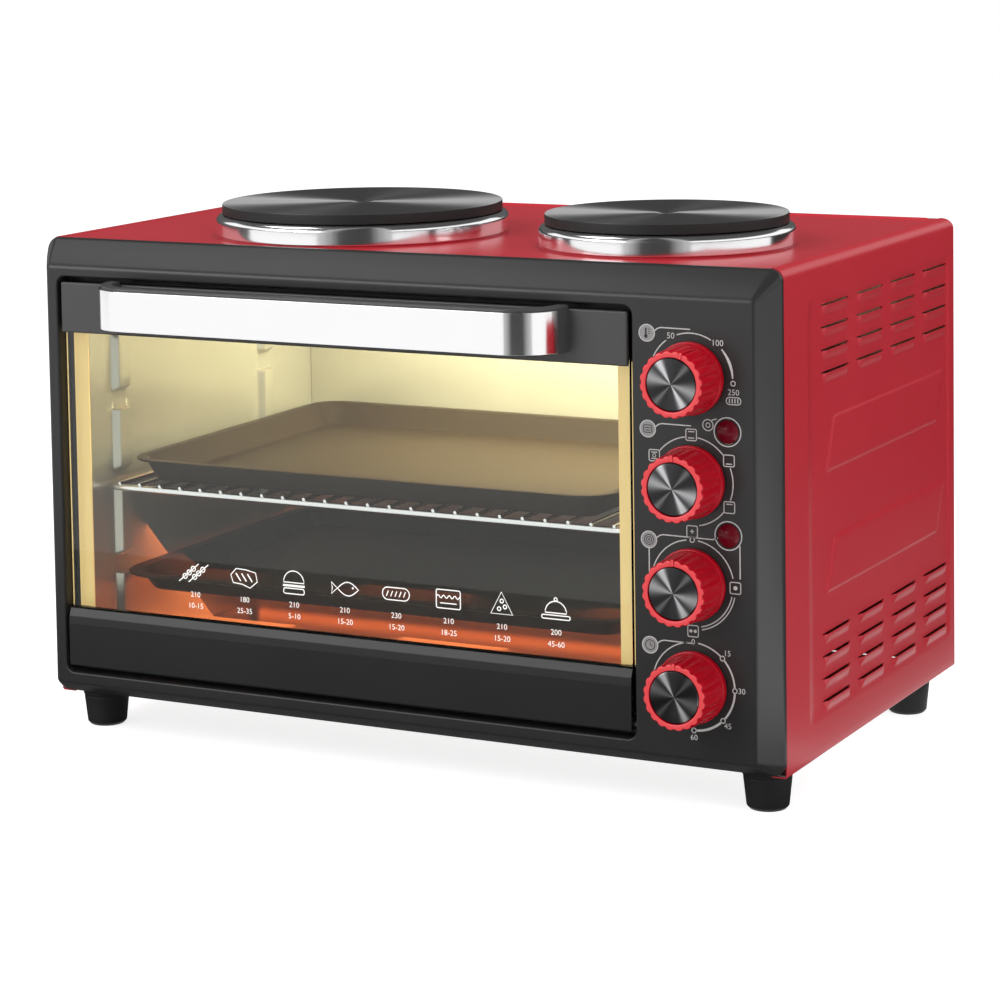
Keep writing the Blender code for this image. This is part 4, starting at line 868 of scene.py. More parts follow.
RED_ENAMEL = Finish("red_enamel", (0.480, 0.018, 0.031), (0.530, 0.026, 0.040), (0.28, 0.36), Grain.PEEL,
                    0.0016, 0.000010, specular=0.4, share=0.7, drift_scale=5.0)
BEZEL_PAINT = Finish("dark_bezel", grey(0.021), grey(0.026), (0.28, 0.34),
                     Grain.MOULDED, 0.0008, 0.000004, specular=0.4, drift_scale=12.0)
KICK_PAINT = Finish("kick_paint", grey(0.018), grey(0.021), (0.28, 0.36),
                    Grain.MOULDED, 0.0008, 0.000003, specular=0.3, drift_scale=12.0)
BLACK_PLASTIC = Finish("black_plastic", (0.012, 0.012, 0.013), (0.020, 0.020, 0.021), (0.28, 0.38),
                       Grain.MOULDED, 0.0007, 0.000006, specular=0.4)
KNOB_PLASTIC = Finish("knob_red", (0.420, 0.001, 0.010), (0.460, 0.002, 0.014), (0.20, 0.26),
                      Grain.MOULDED, 0.0006, 0.000002, specular=0.25)
# Lighter red for the knobs' front faces: a painted highlight, a lit copy of the knob red.
KNOB_FACE_PAINTED_HIGHLIGHT = Finish("knob_face", (0.760, 0.050, 0.060), (0.840, 0.070, 0.080), (0.30, 0.40),
                   Grain.MOULDED, 0.0006, 0.000003, specular=0.4)
# Caps: dark spun metal with bright highlight streaks painted into its colour by the RAYS tone.
SPUN_METAL = Finish("spun_metal", (0.045, 0.045, 0.047), (0.56, 0.56, 0.57), (0.28, 0.34), Grain.RAYS,
                    0.00022, 0.000003, metallic=1.0, anisotropy=0.8, share=1.0)
CHROME = Finish("bright_chrome", (0.95, 0.95, 0.96), (0.98, 0.98, 0.99), (0.11, 0.17), Grain.DRAWN,
                0.0015, 0.0, metallic=1.0)
# Hotplate tops: dark iron with one broad highlight wedge painted into its colour by the WEDGE tone.
CAST_IRON = Finish("cast_iron", grey(0.10), grey(0.92), (0.34, 0.42), Grain.WEDGE,
                   0.0006, 0.000004, metallic=0.65, anisotropy=0.9, share=1.0)
IRON_RIM = Finish("iron_rim", grey(0.020), grey(0.028), (0.40, 0.50), Grain.MOULDED,
                  0.0006, 0.000006, specular=0.2)
ZINC_STEEL = Finish("zinc_steel", (0.46, 0.45, 0.43), (0.60, 0.59, 0.56), (0.29, 0.44), Grain.SPANGLE,
                    0.007, 0.000004, metallic=1.0)
CAVITY_STEEL = Finish("cavity_steel", (0.56, 0.55, 0.46), (0.66, 0.65, 0.56), (0.20, 0.26), Grain.DRAWN,
                      0.004, 0.000001, metallic=0.55, drift_scale=5.0)
# Near-black copy of the zinc steel for the outer faces of the chamber walls: painted shade.
ZINC_STEEL_PAINTED_SHADE = Finish("dark_steel", (0.022, 0.020, 0.019), (0.036, 0.033, 0.031), (0.36, 0.50), Grain.SPANGLE,
                    0.007, 0.000004, metallic=1.0)
# Frame plate seen through the pane: its bright warm colour and its glow are painted light from the lit
# chamber; the plate is no lamp.
FRAME_STEEL_PAINTED_LIGHT = Finish("frame_steel", (0.86, 0.66, 0.28), (0.92, 0.72, 0.34), (0.36, 0.48), Grain.DRAWN,
                     0.004, 0.000001, glow=(1.0, 0.66, 0.22), glow_power=0.34)
RUBBER = Finish("foot_rubber", grey(0.012), grey(0.018), (0.50, 0.66), Grain.MOULDED,
                0.0012, 0.00001, specular=0.3)
TRAY_ENAMEL = Finish("tray_enamel", (0.034, 0.023, 0.011), (0.044, 0.031, 0.016), (0.46, 0.54),
                     Grain.SPECKLE, 0.0022, 0.0, specular=0.2, share=0.3)
DOOR_GLASS = Finish("clear_glass", (0.93, 0.96, 0.94), (0.96, 0.98, 0.96), (0.0, 0.02), Grain.PEEL,
                    0.04, 0.0, ior=1.40, transmission=1.0)
RED_LENS = Finish("red_lens", (0.110, 0.002, 0.008), (0.170, 0.005, 0.014), (0.18, 0.24), Grain.PEEL,
                  0.002, 0.0, specular=0.2)
CERAMIC = Finish("ceramic", (0.72, 0.70, 0.64), (0.80, 0.78, 0.73), (0.40, 0.55), Grain.MOULDED,
                 0.001, 0.00001)
HEATER_SHEATH = Finish("heater_sheath", (0.30, 0.12, 0.06), (0.45, 0.18, 0.08), (0.35, 0.5),
                       Grain.SPECKLE, 0.004, 0.00001, metallic=0.6, glow=(1.0, 0.16, 0.03), glow_power=2.2)
LAMP_GLASS = Finish("lamp_glass", (0.95, 0.92, 0.82), (0.98, 0.95, 0.88), (0.05, 0.12), Grain.PEEL, 0.003,
                    0.00002, glow=(1.0, 0.86, 0.55), glow_power=6.0)
HANDLE_PLASTIC = Finish("handle_plastic", (0.054, 0.054, 0.055), (0.064, 0.064, 0.065), (0.28, 0.36),
                        Grain.MOULDED, 0.0007, 0.000005, specular=0.4)
MID_INK = Finish("mid_ink", grey(0.26), grey(0.32), (0.45, 0.6), Grain.MOULDED, 0.0006, 0.0)
PRINT_INK = Finish("print_ink", (0.52, 0.53, 0.52), (0.60, 0.61, 0.60), (0.45, 0.6), Grain.MOULDED,
                   0.0006, 0.0)
DARK_INK = Finish("dark_ink", grey(0.008), grey(0.014), (0.45, 0.6), Grain.MOULDED,
                  0.0006, 0.0)
# White print on the pane; its faint glow is painted light that keeps the print bright.
WHITE_INK = Finish("white_ink", (0.86, 0.86, 0.84), (0.92, 0.92, 0.90), (0.4, 0.5), Grain.MOULDED,
                   0.0006, 0.0, glow=(1.0, 0.98, 0.92), glow_power=0.25)
SCREW_ZINC = Finish("screw_zinc", (0.55, 0.55, 0.56), (0.68, 0.68, 0.69), (0.28, 0.38), Grain.DRAWN,
                    0.001, 0.000004, metallic=1.0)


class Bench:
    """Puts finished meshes on the frame and keeps the materials."""

    def __init__(self, frame: dict) -> None:
        """Takes the loaded frame.
        """
        low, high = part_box("front_bezel")
        self.origin = Vector(((low.x + high.x) / 2, low.y, low.z))
        self.nodes = frame["nodes"]
        self.effects = EffectLibrary()
        self.materials: dict[str, bpy.types.Material] = {}
        self.patterns = pattern_tree()
        self.wires = wire_tree()
        self.owner = {name: body for body, names in
                      (frame["record"].get("behaviour") or {}).get("bodies", {}).items()
                      for name in names}

    def material(self, finish: Finish) -> bpy.types.Material:
        """The material of a finish, built at its first use."""
        if finish.name not in self.materials:
            self.materials[finish.name] = finish.build(self.effects)
        return self.materials[finish.name]

    def place(self, name: str, mesh: Mesh, finishes: Sequence[Finish], slot: str,
              replaces: Sequence[str] = (), body: str = "casing",
              smooth: Optional[float] = 35.0) -> bpy.types.Object:
        """Dresses a mesh made in the casing's frame and sets it on its body.

        Args:
            name: Name of the piece.
            mesh: Its mesh.
            finishes: Finishes in the order of the mesh's material numbers.
            slot: Material slot of the record; not used.
            replaces: Solids that it stands for; their body is used.
            body: Body that it rides on when it replaces nothing.
            smooth: Sharpest angle that is shaded smooth, or None to keep the shading.

        Returns:
            The piece.
        """
        mesh.name = name
        mesh.transform(Matrix.Translation(self.origin))
        numbers = [face.material_index for face in mesh.polygons]
        mesh.materials.clear()
        for finish in finishes:
            mesh.materials.append(self.material(finish))
        mesh.polygons.foreach_set("material_index", numbers)
        if smooth is not None:
            mesh.shade_smooth()
            mesh.set_sharp_from_angle(angle=math.radians(smooth))
        piece = linked(name, mesh)
        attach(piece, self.owner[replaces[0]] if replaces else body)
        if replaces:
            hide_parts(*replaces)
        LOG.info("%s: %d faces", name, len(mesh.polygons))
        return piece

    def soften_node(self, node: str, finish: Finish, slot: str, bevel: float = 0.0003,
                    outer: Optional[Finish] = None, window: tuple[Flat, Flat] = ((0, 0), (0, 0))) -> None:
        """Replaces a plain solid by a copy with rounded edges and its finish.

        Args:
            node: Name of the solid.
            finish: Its finish.
            slot: Material slot of the record.
            bevel: Width of the rounding.
            outer: Finish of what lies outside the window, if it differs.
            window: Ranges of X and Z that keep the first finish.
        """
        bm = bmesh.new()
        bm.from_mesh(self.nodes[node].data)
        bmesh.ops.translate(bm, verts=bm.verts, vec=-self.origin)
        bmesh.ops.remove_doubles(bm, verts=bm.verts, dist=MERGE)
        if outer:
            for axis, cuts in zip((0, 2), window):
                line = Vector([float(index == axis) for index in range(3)])
                for cut in cuts:
                    bmesh.ops.bisect_plane(bm, geom=bm.verts[:] + bm.edges[:] + bm.faces[:],
                                           plane_co=line * cut, plane_no=line)
            for face in bm.faces:
                middle = face.calc_center_median()
                face.material_index = int(not (window[0][0] < middle.x < window[0][1]
                                               and window[1][0] < middle.z < window[1][1]))
        mesh = weighted(finished_mesh(bm, node + "_soft"), bevel, 2, 40.0)
        finishes = (finish, outer) if outer else (finish,)
        self.place(node + "_soft", mesh, finishes, slot, (node,), smooth=None)


class PrintSheet:
    """Printed marks a hair in front of a surface that faces the front."""

    def __init__(self, face: float) -> None:
        """Starts an empty sheet.

        Args:
            face: Y of the surface.
        """
        self.bm = bmesh.new()
        self.face = face
        self.pivot = (0.0, 0.0)
        self.zoom = 1.0

    def put(self, points: Sequence[Flat], layer: int, ink: int) -> None:
        """Adds one flat face, enlarged about the pivot."""
        y = self.face - HAIR * (1 + 2 * layer)
        (u0, v0), zoom = self.pivot, self.zoom
        points = [(u0 + (u - u0) * zoom, v0 + (v - v0) * zoom) for u, v in points]
        face = self.bm.faces.new([self.bm.verts.new((u, y, v)) for u, v in points])
        face.material_index = ink

    def stroke(self, path: Sequence[Flat], width: float, closed: bool = False, layer: int = 0,
               ink: int = 0) -> None:
        """Adds a line of even width.

        Args:
            path: Points of its middle.
            width: Its width, as one number.
            closed: Whether it runs back to its start.
            layer: Which layer it lies on, 0 on the surface.
            ink: Material number.
        """
        count = len(path)
        sides = []
        for index in range(count):
            before = path[index - 1] if closed or index else path[0]
            after = path[(index + 1) % count] if closed or index < count - 1 else path[-1]
            along = (Vector(after) - Vector(before)).normalized()
            half = Vector((-along.y, along.x)) * (width / 2)
            here = Vector(path[index])
            sides.append((here + half, here - half))
        for index in range(count if closed else count - 1):
            first, second = sides[index], sides[(index + 1) % count]
            self.put([tuple(first[0]), tuple(first[1]), tuple(second[1]), tuple(second[0])], layer, ink)

    def disc(self, centre: Flat, radius: float, layer: int = 0, ink: int = 0) -> None:
        """Adds a filled circle."""
        self.put(arc(centre, radius, 0, 352.5, 47), layer, ink)

    def circle(self, centre: Flat, radius: float, width: float, layer: int = 0, ink: int = 0) -> None:
        """Adds an open circle."""
        self.stroke(arc(centre, radius, 0, 352.5, 47), width, True, layer, ink)

    def frame_box(self, centre: Flat, half: Flat, radius: float, width: float, layer: int = 0,
                  ink: int = 0) -> None:
        """Adds an open box with round corners."""
        outline = rounded_box((centre[0] - half[0], centre[1] - half[1]),
                              (centre[0] + half[0], centre[1] + half[1]), radius, 5)
        self.stroke(outline, width, True, layer, ink)

    def label(self, words: str, centre: Flat, size: float, layer: int = 0, ink: int = 0) -> None:
        """Adds plain figures.

        Args:
            words: The figures.
            centre: Middle of the label.
            size: Height of the type.
            layer: Which layer it lies on.
            ink: Material number.
        """
        curve = bpy.data.curves.new("figures", "FONT")
        curve.body = words
        curve.size = size
        curve.align_x = "CENTER"
        curve.align_y = "CENTER"
        curve.resolution_u = 3
        mesh = baked_mesh(bpy.data.objects.new("figures", curve))
        for face in mesh.polygons:
            points = [mesh.vertices[index].co for index in face.vertices]
            self.put([(centre[0] + p.x, centre[1] + p.y) for p in points], layer, ink)
        bpy.data.meshes.remove(mesh)

    def mesh(self, name: str) -> Mesh:
        """The printed marks as thin closed slabs."""
        bmesh.ops.remove_doubles(self.bm, verts=self.bm.verts, dist=4 * MERGE)
        self.bm.normal_update()
        for face in self.bm.faces:
            if face.normal.y > 0:
                face.normal_flip()
        return modified(name, freed_mesh(self.bm, name), "SOLIDIFY", thickness=HAIR, offset=-1)

    def draw(self, centre: Flat, marks: Sequence[Mark], layer: int = 0, ink: int = 0) -> None:
        """Adds the marks of a sign about its middle.

        Args:
            centre: Middle of the sign.
            marks: Its marks, in tenths of a millimetre.
            layer: Which layer they lie on.
            ink: Material number.
        """
        for shape, *numbers in marks:
            width, *values = (number * TENTH for number in numbers)
            path = [(centre[0] + u, centre[1] + v) for u, v in zip(values[::2], values[1::2])]
            if shape is Shape.BOX:
                self.frame_box(path[0], (values[2], values[3]), values[4], width, layer, ink)
            elif shape is Shape.RING:
                self.circle(path[0], values[2], width, layer, ink)
            elif shape is Shape.DISC:
                self.disc(path[0], values[2], layer, ink)
            elif shape is Shape.DOME:
                self.stroke(arc(path[0], values[2], 0, 180, numbers[-1]), width, True, layer, ink)
            else:
                self.stroke(path, width, shape is Shape.LOOP, layer, ink)


# Sub-assemblies


@dataclass
class FrontBezel:
    """Dark front frame with the door opening and the holes of the control panel."""

    sizes: OvenSizes
    depth: float = 0.020
    land: float = 0.003
    wall: float = 0.002
    bulge: float = 0.0004
    side_bevel: float = 0.0103
    top_bevel: float = 0.0165
    bottom_bevel: float = 0.0097
    rim_radius: float = 0.008
    face_radius: float = 0.0025
    collar_depth: float = 0.012
    collar_wall: float = 0.0015
    edge_radius: float = 0.0012
    opening_radius: float = 0.006
    shaft_hole: float = 0.0033
    lens_hole: float = 0.0073
    crease: float = 0.0016
    crease_share: float = 0.12
    rim_share: float = 0.10
    rim_rise: float = 0.0012
    reach_out: float = 0.002
    hole_lip: float = 0.0004
    hole_depth: float = 0.005
    corner_steps: int = 8

    def ring(self, across: float, y: float, inset: float) -> list[Vector]:
        """Ring of the outer form.

        Args:
            across: 0 at the rim and 1 at the edge of the flat face.
            y: Depth of the ring.
            inset: How far the ring is moved in.

        Returns:
            Its points.
        """
        half, height = self.sizes.half_width, self.sizes.height
        low = (-half + self.side_bevel * across, self.bottom_bevel * across)
        high = (half - self.side_bevel * across, height - self.top_bevel * across)
        radius = self.rim_radius + (self.face_radius - self.rim_radius) * max(0.0, min(1.0, across))
        outline = inset_box(low, high, inset, max(radius - inset, 0.0005), self.corner_steps)
        return [Vector((u, y, v)) for u, v in outline]

    def profile(self) -> list[Flat]:
        """Section from the flat face over the slope to the back of the rim, as (across, y)."""
        slope_end = self.depth - self.land
        points = [(1 + self.crease / self.side_bevel * (1 - share) ** 2 - self.crease_share * share ** 2,
                   slope_end * self.crease_share * share ** 2) for share in (0, 0.2, 0.4, 0.6, 0.8, 1.0)]
        for share in (0.2, 0.4, 0.6, 0.8):
            across = 1 - self.crease_share - (1 - self.crease_share - self.rim_share) * share
            points.append((across, slope_end * (1 - across) - self.bulge * math.sin(math.pi * share)))
        for share in (0, 0.25, 0.5, 0.75, 1.0):
            y = slope_end * ((1 - self.rim_share) * (1 - share) ** 2 + 2 * share * (1 - share))
            points.append((self.rim_share * (1 - share) ** 2, y + (slope_end + self.rim_rise) * share ** 2))
        return points + [(0, self.depth)]

    def build(self, bench: Bench) -> None:
        """Builds the bezel from lofts and rounded cutters."""
        sizes = self.sizes
        outer = loft("bezel", [self.ring(across, y, 0) for across, y in self.profile()])
        hollow = loft("hollow", [self.ring(1, self.wall, self.wall / 2),
                                 self.ring(0, self.depth - self.land, self.wall),
                                 self.ring(0, self.depth + self.reach_out, self.wall)])
        body = combined(outer, [hollow], "DIFFERENCE")
        collar = [self.opening(self.collar_wall, y) for y in (self.wall / 2, self.collar_depth)]
        body = combined(body, [loft("collar", collar)], "UNION")
        radius = self.edge_radius
        rings = [self.opening(radius * 1.2, -self.reach_out)]
        for step in range(6):
            angle = QUARTER * step / 5
            rings.append(self.opening(radius * (1 - math.sin(angle)), radius * (1 - math.cos(angle))))
        rings.append(self.opening(0, self.collar_depth + self.reach_out))
        cutters = [loft("door_opening", rings)]
        for hole, x, heights in ((self.shaft_hole, sizes.knob_x, sizes.knob_z),
                                 (self.lens_hole, sizes.lens_x, sizes.lens_z)):
            wide = hole + self.hole_lip
            profile = [(0, self.reach_out), (wide, self.reach_out), (wide, 0), (hole, -self.hole_lip),
                       (hole, -self.hole_depth), (0, -self.hole_depth)]
            for z in heights:
                cutters.append(lathe("hole", profile, Vector((x, 0, z)), Facing.FRONT, 40))
        body = combined(body, cutters, "DIFFERENCE")
        bench.place("bezel_moulding", weighted(body), (BEZEL_PAINT,), "dark_bezel", ("front_bezel",),
                    smooth=None)

    def opening(self, grow: float, y: float) -> list[Vector]:
        """Ring of the door opening, grown by a margin."""
        low, high = zip(self.sizes.open_x, self.sizes.open_z)
        outline = inset_box(low, high, -grow, self.opening_radius + grow, self.corner_steps)
        return [Vector((u, y, v)) for u, v in outline]


@dataclass
class SidePanel:
    """Red side sheet with louvres, pressed fields and the folded shoulder."""

    sizes: OvenSizes
    sign: int
    flange: float = 0.010
    seam_drop: float = 0.006
    rear_radius: float = 0.006
    recess: float = 0.001
    recess_y: Flat = (0.060, 0.312)
    recess_z: Flat = (0.020, 0.281)
    crease: float = 0.0013
    louvre_y: float = 0.0827
    louvre_length: float = 0.0435
    louvre_pitch: Flat = (0.0600, 0.0138)
    louvre_tops: Flat = (0.2735, 0.0715)
    louvre_count: int = 4
    louvre_height: float = 0.0062
    louvre_out: float = 0.0020
    slit: float = 0.0009
    slit_over: float = 0.0012
    emboss_y: float = 0.086
    emboss_length: float = 0.202
    emboss_height: float = 0.035
    emboss_lean: float = 0.015
    emboss_rise: float = 0.0009
    emboss_slope: float = 0.0030
    emboss_low: Flat = (0.0955, 0.1700)
    recess_ramps: Flat = (0.004, 0.010)
    louvre_end: float = 0.0045
    louvre_power: float = 1.3
    seam: Flat = (0.00015, 0.0001)
    seam_edge: float = 0.0004

    def louvre_heights(self) -> list[float]:
        """Upper edges of the louvre rows."""
        return [top - self.louvre_pitch[1] * row for top in self.louvre_tops
                for row in range(self.louvre_count)]

    def louvre_starts(self) -> list[float]:
        """Front ends of the louvre columns."""
        return [self.louvre_y + self.louvre_pitch[0] * column for column in range(self.louvre_count)]

    def relief(self, y: float, z: float) -> float:
        """How far the sheet stands out of the casing's plane at a place.

        Args:
            y: Depth of the place.
            z: Its height.

        Returns:
            Distance along the outward normal.
        """
        (near, far), (rear_ramp, ramp) = self.recess_y, self.recess_ramps
        field = smooth_step(near, near + self.crease, y) * (1 - smooth_step(far - rear_ramp, far, y))
        out = -self.recess * field * plateau(*self.recess_z, ramp, z)
        for top in self.louvre_heights():
            if top - self.louvre_height <= z <= top + MERGE:
                fall = max(0.0, math.cos((top - z) / self.louvre_height * QUARTER)) ** self.louvre_power
                for start in self.louvre_starts():
                    ends = plateau(start, start + self.louvre_length, self.louvre_end, y)
                    out += self.louvre_out * ends * fall
        for low in self.emboss_low:
            lean = self.emboss_lean * (z - low) / self.emboss_height
            ends = plateau(self.emboss_y + lean, self.emboss_y + self.emboss_length + lean,
                           self.emboss_slope, y)
            out += self.emboss_rise * ends * plateau(low, low + self.emboss_height, self.emboss_slope, z)
        return out

    def depth_lines(self) -> list[float]:
        """Grid lines along the depth, close where the sheet bends."""
        ends = [self.sizes.casing_front, self.sizes.depth]
        fixed: list[float] = list(ends)
        fine: list[float] = []
        for start in self.louvre_starts():
            end = start + self.louvre_length
            fixed += [start - self.slit_over, start, end, end + self.slit_over]
            fine += spread(start, start + self.louvre_end, 0.0007)
            fine += spread(end - self.louvre_end, end, 0.0007)
        near, far = self.recess_y
        first = self.emboss_y
        lean = self.emboss_lean + self.emboss_slope
        last = first + self.emboss_length
        for low, high, pitch in ((near, near + self.crease, 0.0004),
                                 (far - self.recess_ramps[0], far, 0.001),
                                 (ends[1] - 2 * self.rear_radius, ends[1], 0.0012),
                                 (first, first + lean, 0.0010),
                                 (last - self.emboss_slope, last + self.emboss_lean, 0.0008)):
            fine += spread(low, high, pitch)
        return sorted_lines((fixed, fine, spread(*ends, 0.006)), 0.0003)

    def height_lines(self, low: float, high: float) -> list[float]:
        """Grid lines up the flat part of the side."""
        fixed: list[float] = [low, high]
        fine: list[float] = []
        for top in self.louvre_heights():
            fixed += [top, top + self.slit]
            fine += spread(top - self.louvre_height, top, 0.0007)
        ramp = self.recess_ramps[1]
        for edge in self.recess_z:
            fine += spread(edge - ramp, edge + ramp, 0.0016)
        for start in self.emboss_low:
            top = start + self.emboss_height
            fine += spread(start, start + self.emboss_slope, 0.0006)
            fine += spread(top - self.emboss_slope, top, 0.0006)
        lines = sorted_lines((fixed, fine, spread(low, high, 0.004)), 0.0003)
        return [line for line in lines if low <= line <= high]

    def section(self) -> list[Flat]:
        """Section of the sheet from its foot flange to its seam with the top."""
        sizes = self.sizes
        half, top = sizes.half_width, sizes.casing_top
        fold = sizes.sheet * 2
        lip = half - sizes.fold_radius
        foot = arc((half - fold, -sizes.casing_lip + fold), fold, 270, 360, 5)
        shoulder = arc((lip, top - sizes.fold_radius), sizes.fold_radius, 0, 88, 14)
        flat = [(half, z) for z in self.height_lines(foot[-1][1], shoulder[0][1])]
        seam = [(lip + self.seam[0], top - self.seam[1]), (lip, top - self.seam_edge),
                (lip, top - self.seam_drop)]
        return [(half - self.flange, -sizes.casing_lip)] + foot + flat[1:-1] + shoulder + seam

    def build(self, bench: Bench) -> None:
        """Builds the panel as a pressed grid."""
        sizes = self.sizes
        section = self.section()
        lines = self.depth_lines()
        rear = 2 * self.rear_radius
        rows = []
        for u, v in section:
            above = max(0.0, v - (sizes.casing_top - self.rear_radius))
            shrink = self.rear_radius - math.sqrt(max(0.0, self.rear_radius ** 2 - above ** 2))
            row = []
            for y in lines:
                out = self.relief(y, v) if abs(u - sizes.half_width) < MERGE else 0.0
                slip = shrink * max(0.0, (y - (sizes.depth - rear)) / rear)
                row.append(Vector(((u + out) * self.sign, y - slip, v)))
            rows.append(row)

        def open_cell(row: int, column: int) -> bool:
            """Whether a grid cell is part of a slit."""
            return abs(section[row][0] - sizes.half_width) <= MERGE and self.slit_at(
                (lines[column] + lines[column + 1]) / 2, (section[row][1] + section[row + 1][1]) / 2)

        side = "right" if self.sign > 0 else "left"
        mesh = sheet_grid("side_sheet", rows, sizes.sheet, Vector((self.sign, 0, 0.2)), open_cell)
        bench.place("side_sheet_" + side, mesh, (RED_ENAMEL,), "red_enamel", ("side_panel_" + side,),
                    smooth=50.0)

    def slit_at(self, y: float, z: float) -> bool:
        """Whether a place on the flat side is part of a slit."""
        return any(top < z < top + self.slit for top in self.louvre_heights()) and any(
            start - self.slit_over < y < start + self.louvre_length + self.slit_over
            for start in self.louvre_starts())


@dataclass
class TopPanel:
    """Red top sheet with the pressed seats of the hotplates and the bead behind them."""

    sizes: OvenSizes
    flare: float = 0.0035
    hole_inset: float = 0.0045
    apron: float = 0.0008
    steps: int = 128
    bead_inset: float = 0.006
    bead_width: float = 0.006
    bead_height: float = 0.0012
    bead_radius: float = 0.0029
    bead_slope: float = 0.42
    sunk: float = 0.2

    def seat(self, radius: float, x: float) -> Mesh:
        """Pressed seat round one hotplate, from the sheet's plane to its inner edge."""
        sizes = self.sizes
        outer = radius + sizes.ring_out
        crown = outer - self.flare
        inner = radius - self.hole_inset
        high = sizes.seat_height
        sheet = sizes.sheet
        upper = softened([(outer + self.apron, 0, 0), (outer - 0.0002, 0, 0.0014),
                          (crown, high, 0.0014), (inner, high, 0)], 6)
        lower = softened([(inner, high - sheet, 0), (crown - sheet * 0.6, high - sheet, 0.001),
                          (outer - sheet * 0.7, -sheet, 0.0012), (outer + self.apron, -sheet, 0)], 4)
        place = Vector((x, sizes.hotplate_y, sizes.top_z))
        return lathe("seat", upper + lower, place, steps=self.steps, ring=True)

    def build(self, bench: Bench) -> None:
        """Builds sheet, seats and bead as one piece."""
        sizes = self.sizes
        half = sizes.half_width - sizes.fold_radius - GAP
        far = sizes.depth - GAP
        flat = block("flat", (-half, sizes.casing_front, sizes.top_z - sizes.sheet),
                     (half, far, sizes.top_z))
        holes = []
        for _name, radius, x in sizes.hotplates:
            outer = radius + sizes.ring_out + self.apron
            place = Vector((x, sizes.hotplate_y, sizes.top_z))
            profile = [(0, 0.002), (outer, 0.002), (outer, -0.003), (0, -0.003)]
            holes.append(lathe("seat_hole", profile, place, steps=self.steps))
        parts = [combined(flat, holes, "DIFFERENCE")]
        parts += [self.seat(radius, x) for _name, radius, x in sizes.hotplates]
        rings = []
        low = (-half + self.bead_inset, far - self.bead_inset - self.bead_width)
        high = (half - self.bead_inset, far - self.bead_inset)
        for share in (-self.sunk, 0, 0.25, 0.5, 0.75, 1.0):
            inset = max(0.0, share) * self.bead_width * self.bead_slope
            z = sizes.top_z + self.bead_height * math.sin(share * QUARTER)
            rings.append([Vector((u, v, z)) for u, v in
                          inset_box(low, high, inset, self.bead_radius - inset, 6)])
        parts.append(loft("bead", rings))
        mesh = weighted(joined("top_sheet", parts), angle=40.0)
        bench.place("top_sheet", mesh, (RED_ENAMEL,), "red_enamel", ("top_panel",), smooth=None)


@dataclass
class Hotplates:
    """Iron discs, their bright spill rings and the brackets under them."""

    sizes: OvenSizes
    ring_height: float = 0.0077
    ring_sheet: float = 0.0009
    skirt: float = 0.0050
    edge_height: float = 0.0067
    edge_radius: float = 0.0011
    dish: float = 0.0006
    dimple: Flat = (0.0060, 0.0008)
    body_inset: float = 0.0065
    sink: float = 0.0045
    stud: Flat = (0.003, 0.018)
    neck: float = 0.0008
    waist: float = 0.42
    arc_steps: int = 8
    rounds: int = 160
    flat_from: float = 0.6

    def disc_profile(self, radius: float) -> list[Flat]:
        """Section of a disc from the middle of its top to the end of its stud."""
        low = self.sizes.seat_height + self.ring_height + 2 * GAP
        top = low + self.edge_height
        under = low - self.sink - self.ring_height
        (dimple, drop), (stud, length) = self.dimple, self.stud
        waist = radius - self.body_inset
        return softened([
            (0, top - drop - self.dish, 0), (dimple * 0.6, top - drop - self.dish, 0.002),
            (dimple * 1.3, top - self.dish, 0.003), (radius * 0.5, top - self.dish * 0.6, 0.02),
            (radius - 0.004, top, 0.002), (radius, top, self.edge_radius), (radius, low + 0.0001, 0.0006),
            (waist, low, 0.001), (waist, under, 0.0015), (stud, under, 0.0005),
            (stud, under - length + 0.0004, 0.0004), (0, under - length, 0)], 5)

    def ring_profile(self, radius: float) -> list[Flat]:
        """Closed section of a spill ring with a straight skirt."""
        low = self.sizes.seat_height + GAP
        top = low + self.ring_height
        foot = low - self.skirt
        outer = radius + self.sizes.ring_out
        neck = radius - self.neck
        waist = low + self.ring_height * self.waist
        skins = []
        for inset in (0.0, self.ring_sheet):
            angles = [QUARTER * step / self.arc_steps for step in range(self.arc_steps + 1)]
            skins.append([(neck + (outer - inset - neck) * math.sin(angle),
                           waist + (top - inset - waist) * math.cos(angle)) for angle in angles]
                         + [(outer - inset * 0.3, foot + 0.0008)])
        edge = [(outer, foot + 0.0002), (outer - self.ring_sheet * 0.15, foot),
                (outer - self.ring_sheet * 0.3, foot + 0.0002)]
        return skins[0] + edge + skins[1][::-1]

    def build(self, bench: Bench) -> None:
        """Builds both plates."""
        for name, radius, x in self.sizes.hotplates:
            place = Vector((x, self.sizes.hotplate_y, self.sizes.top_z))
            disc = lathe("disc", self.disc_profile(radius), place, steps=self.rounds)
            for face in disc.polygons:
                face.material_index = int(face.normal.z < self.flat_from)
            bench.place("iron_disc_" + name, disc, (CAST_IRON, IRON_RIM), "cast_iron",
                        ("hotplate_" + name,), smooth=40.0)
            ring = lathe("ring", self.ring_profile(radius), place, steps=self.rounds, ring=True)
            bench.place("bright_ring_" + name, ring, (CHROME,), "chrome", ("spill_ring_" + name,))
            bench.soften_node("hotplate_bridge_" + name, ZINC_STEEL, "zinc_steel", 0.0002)


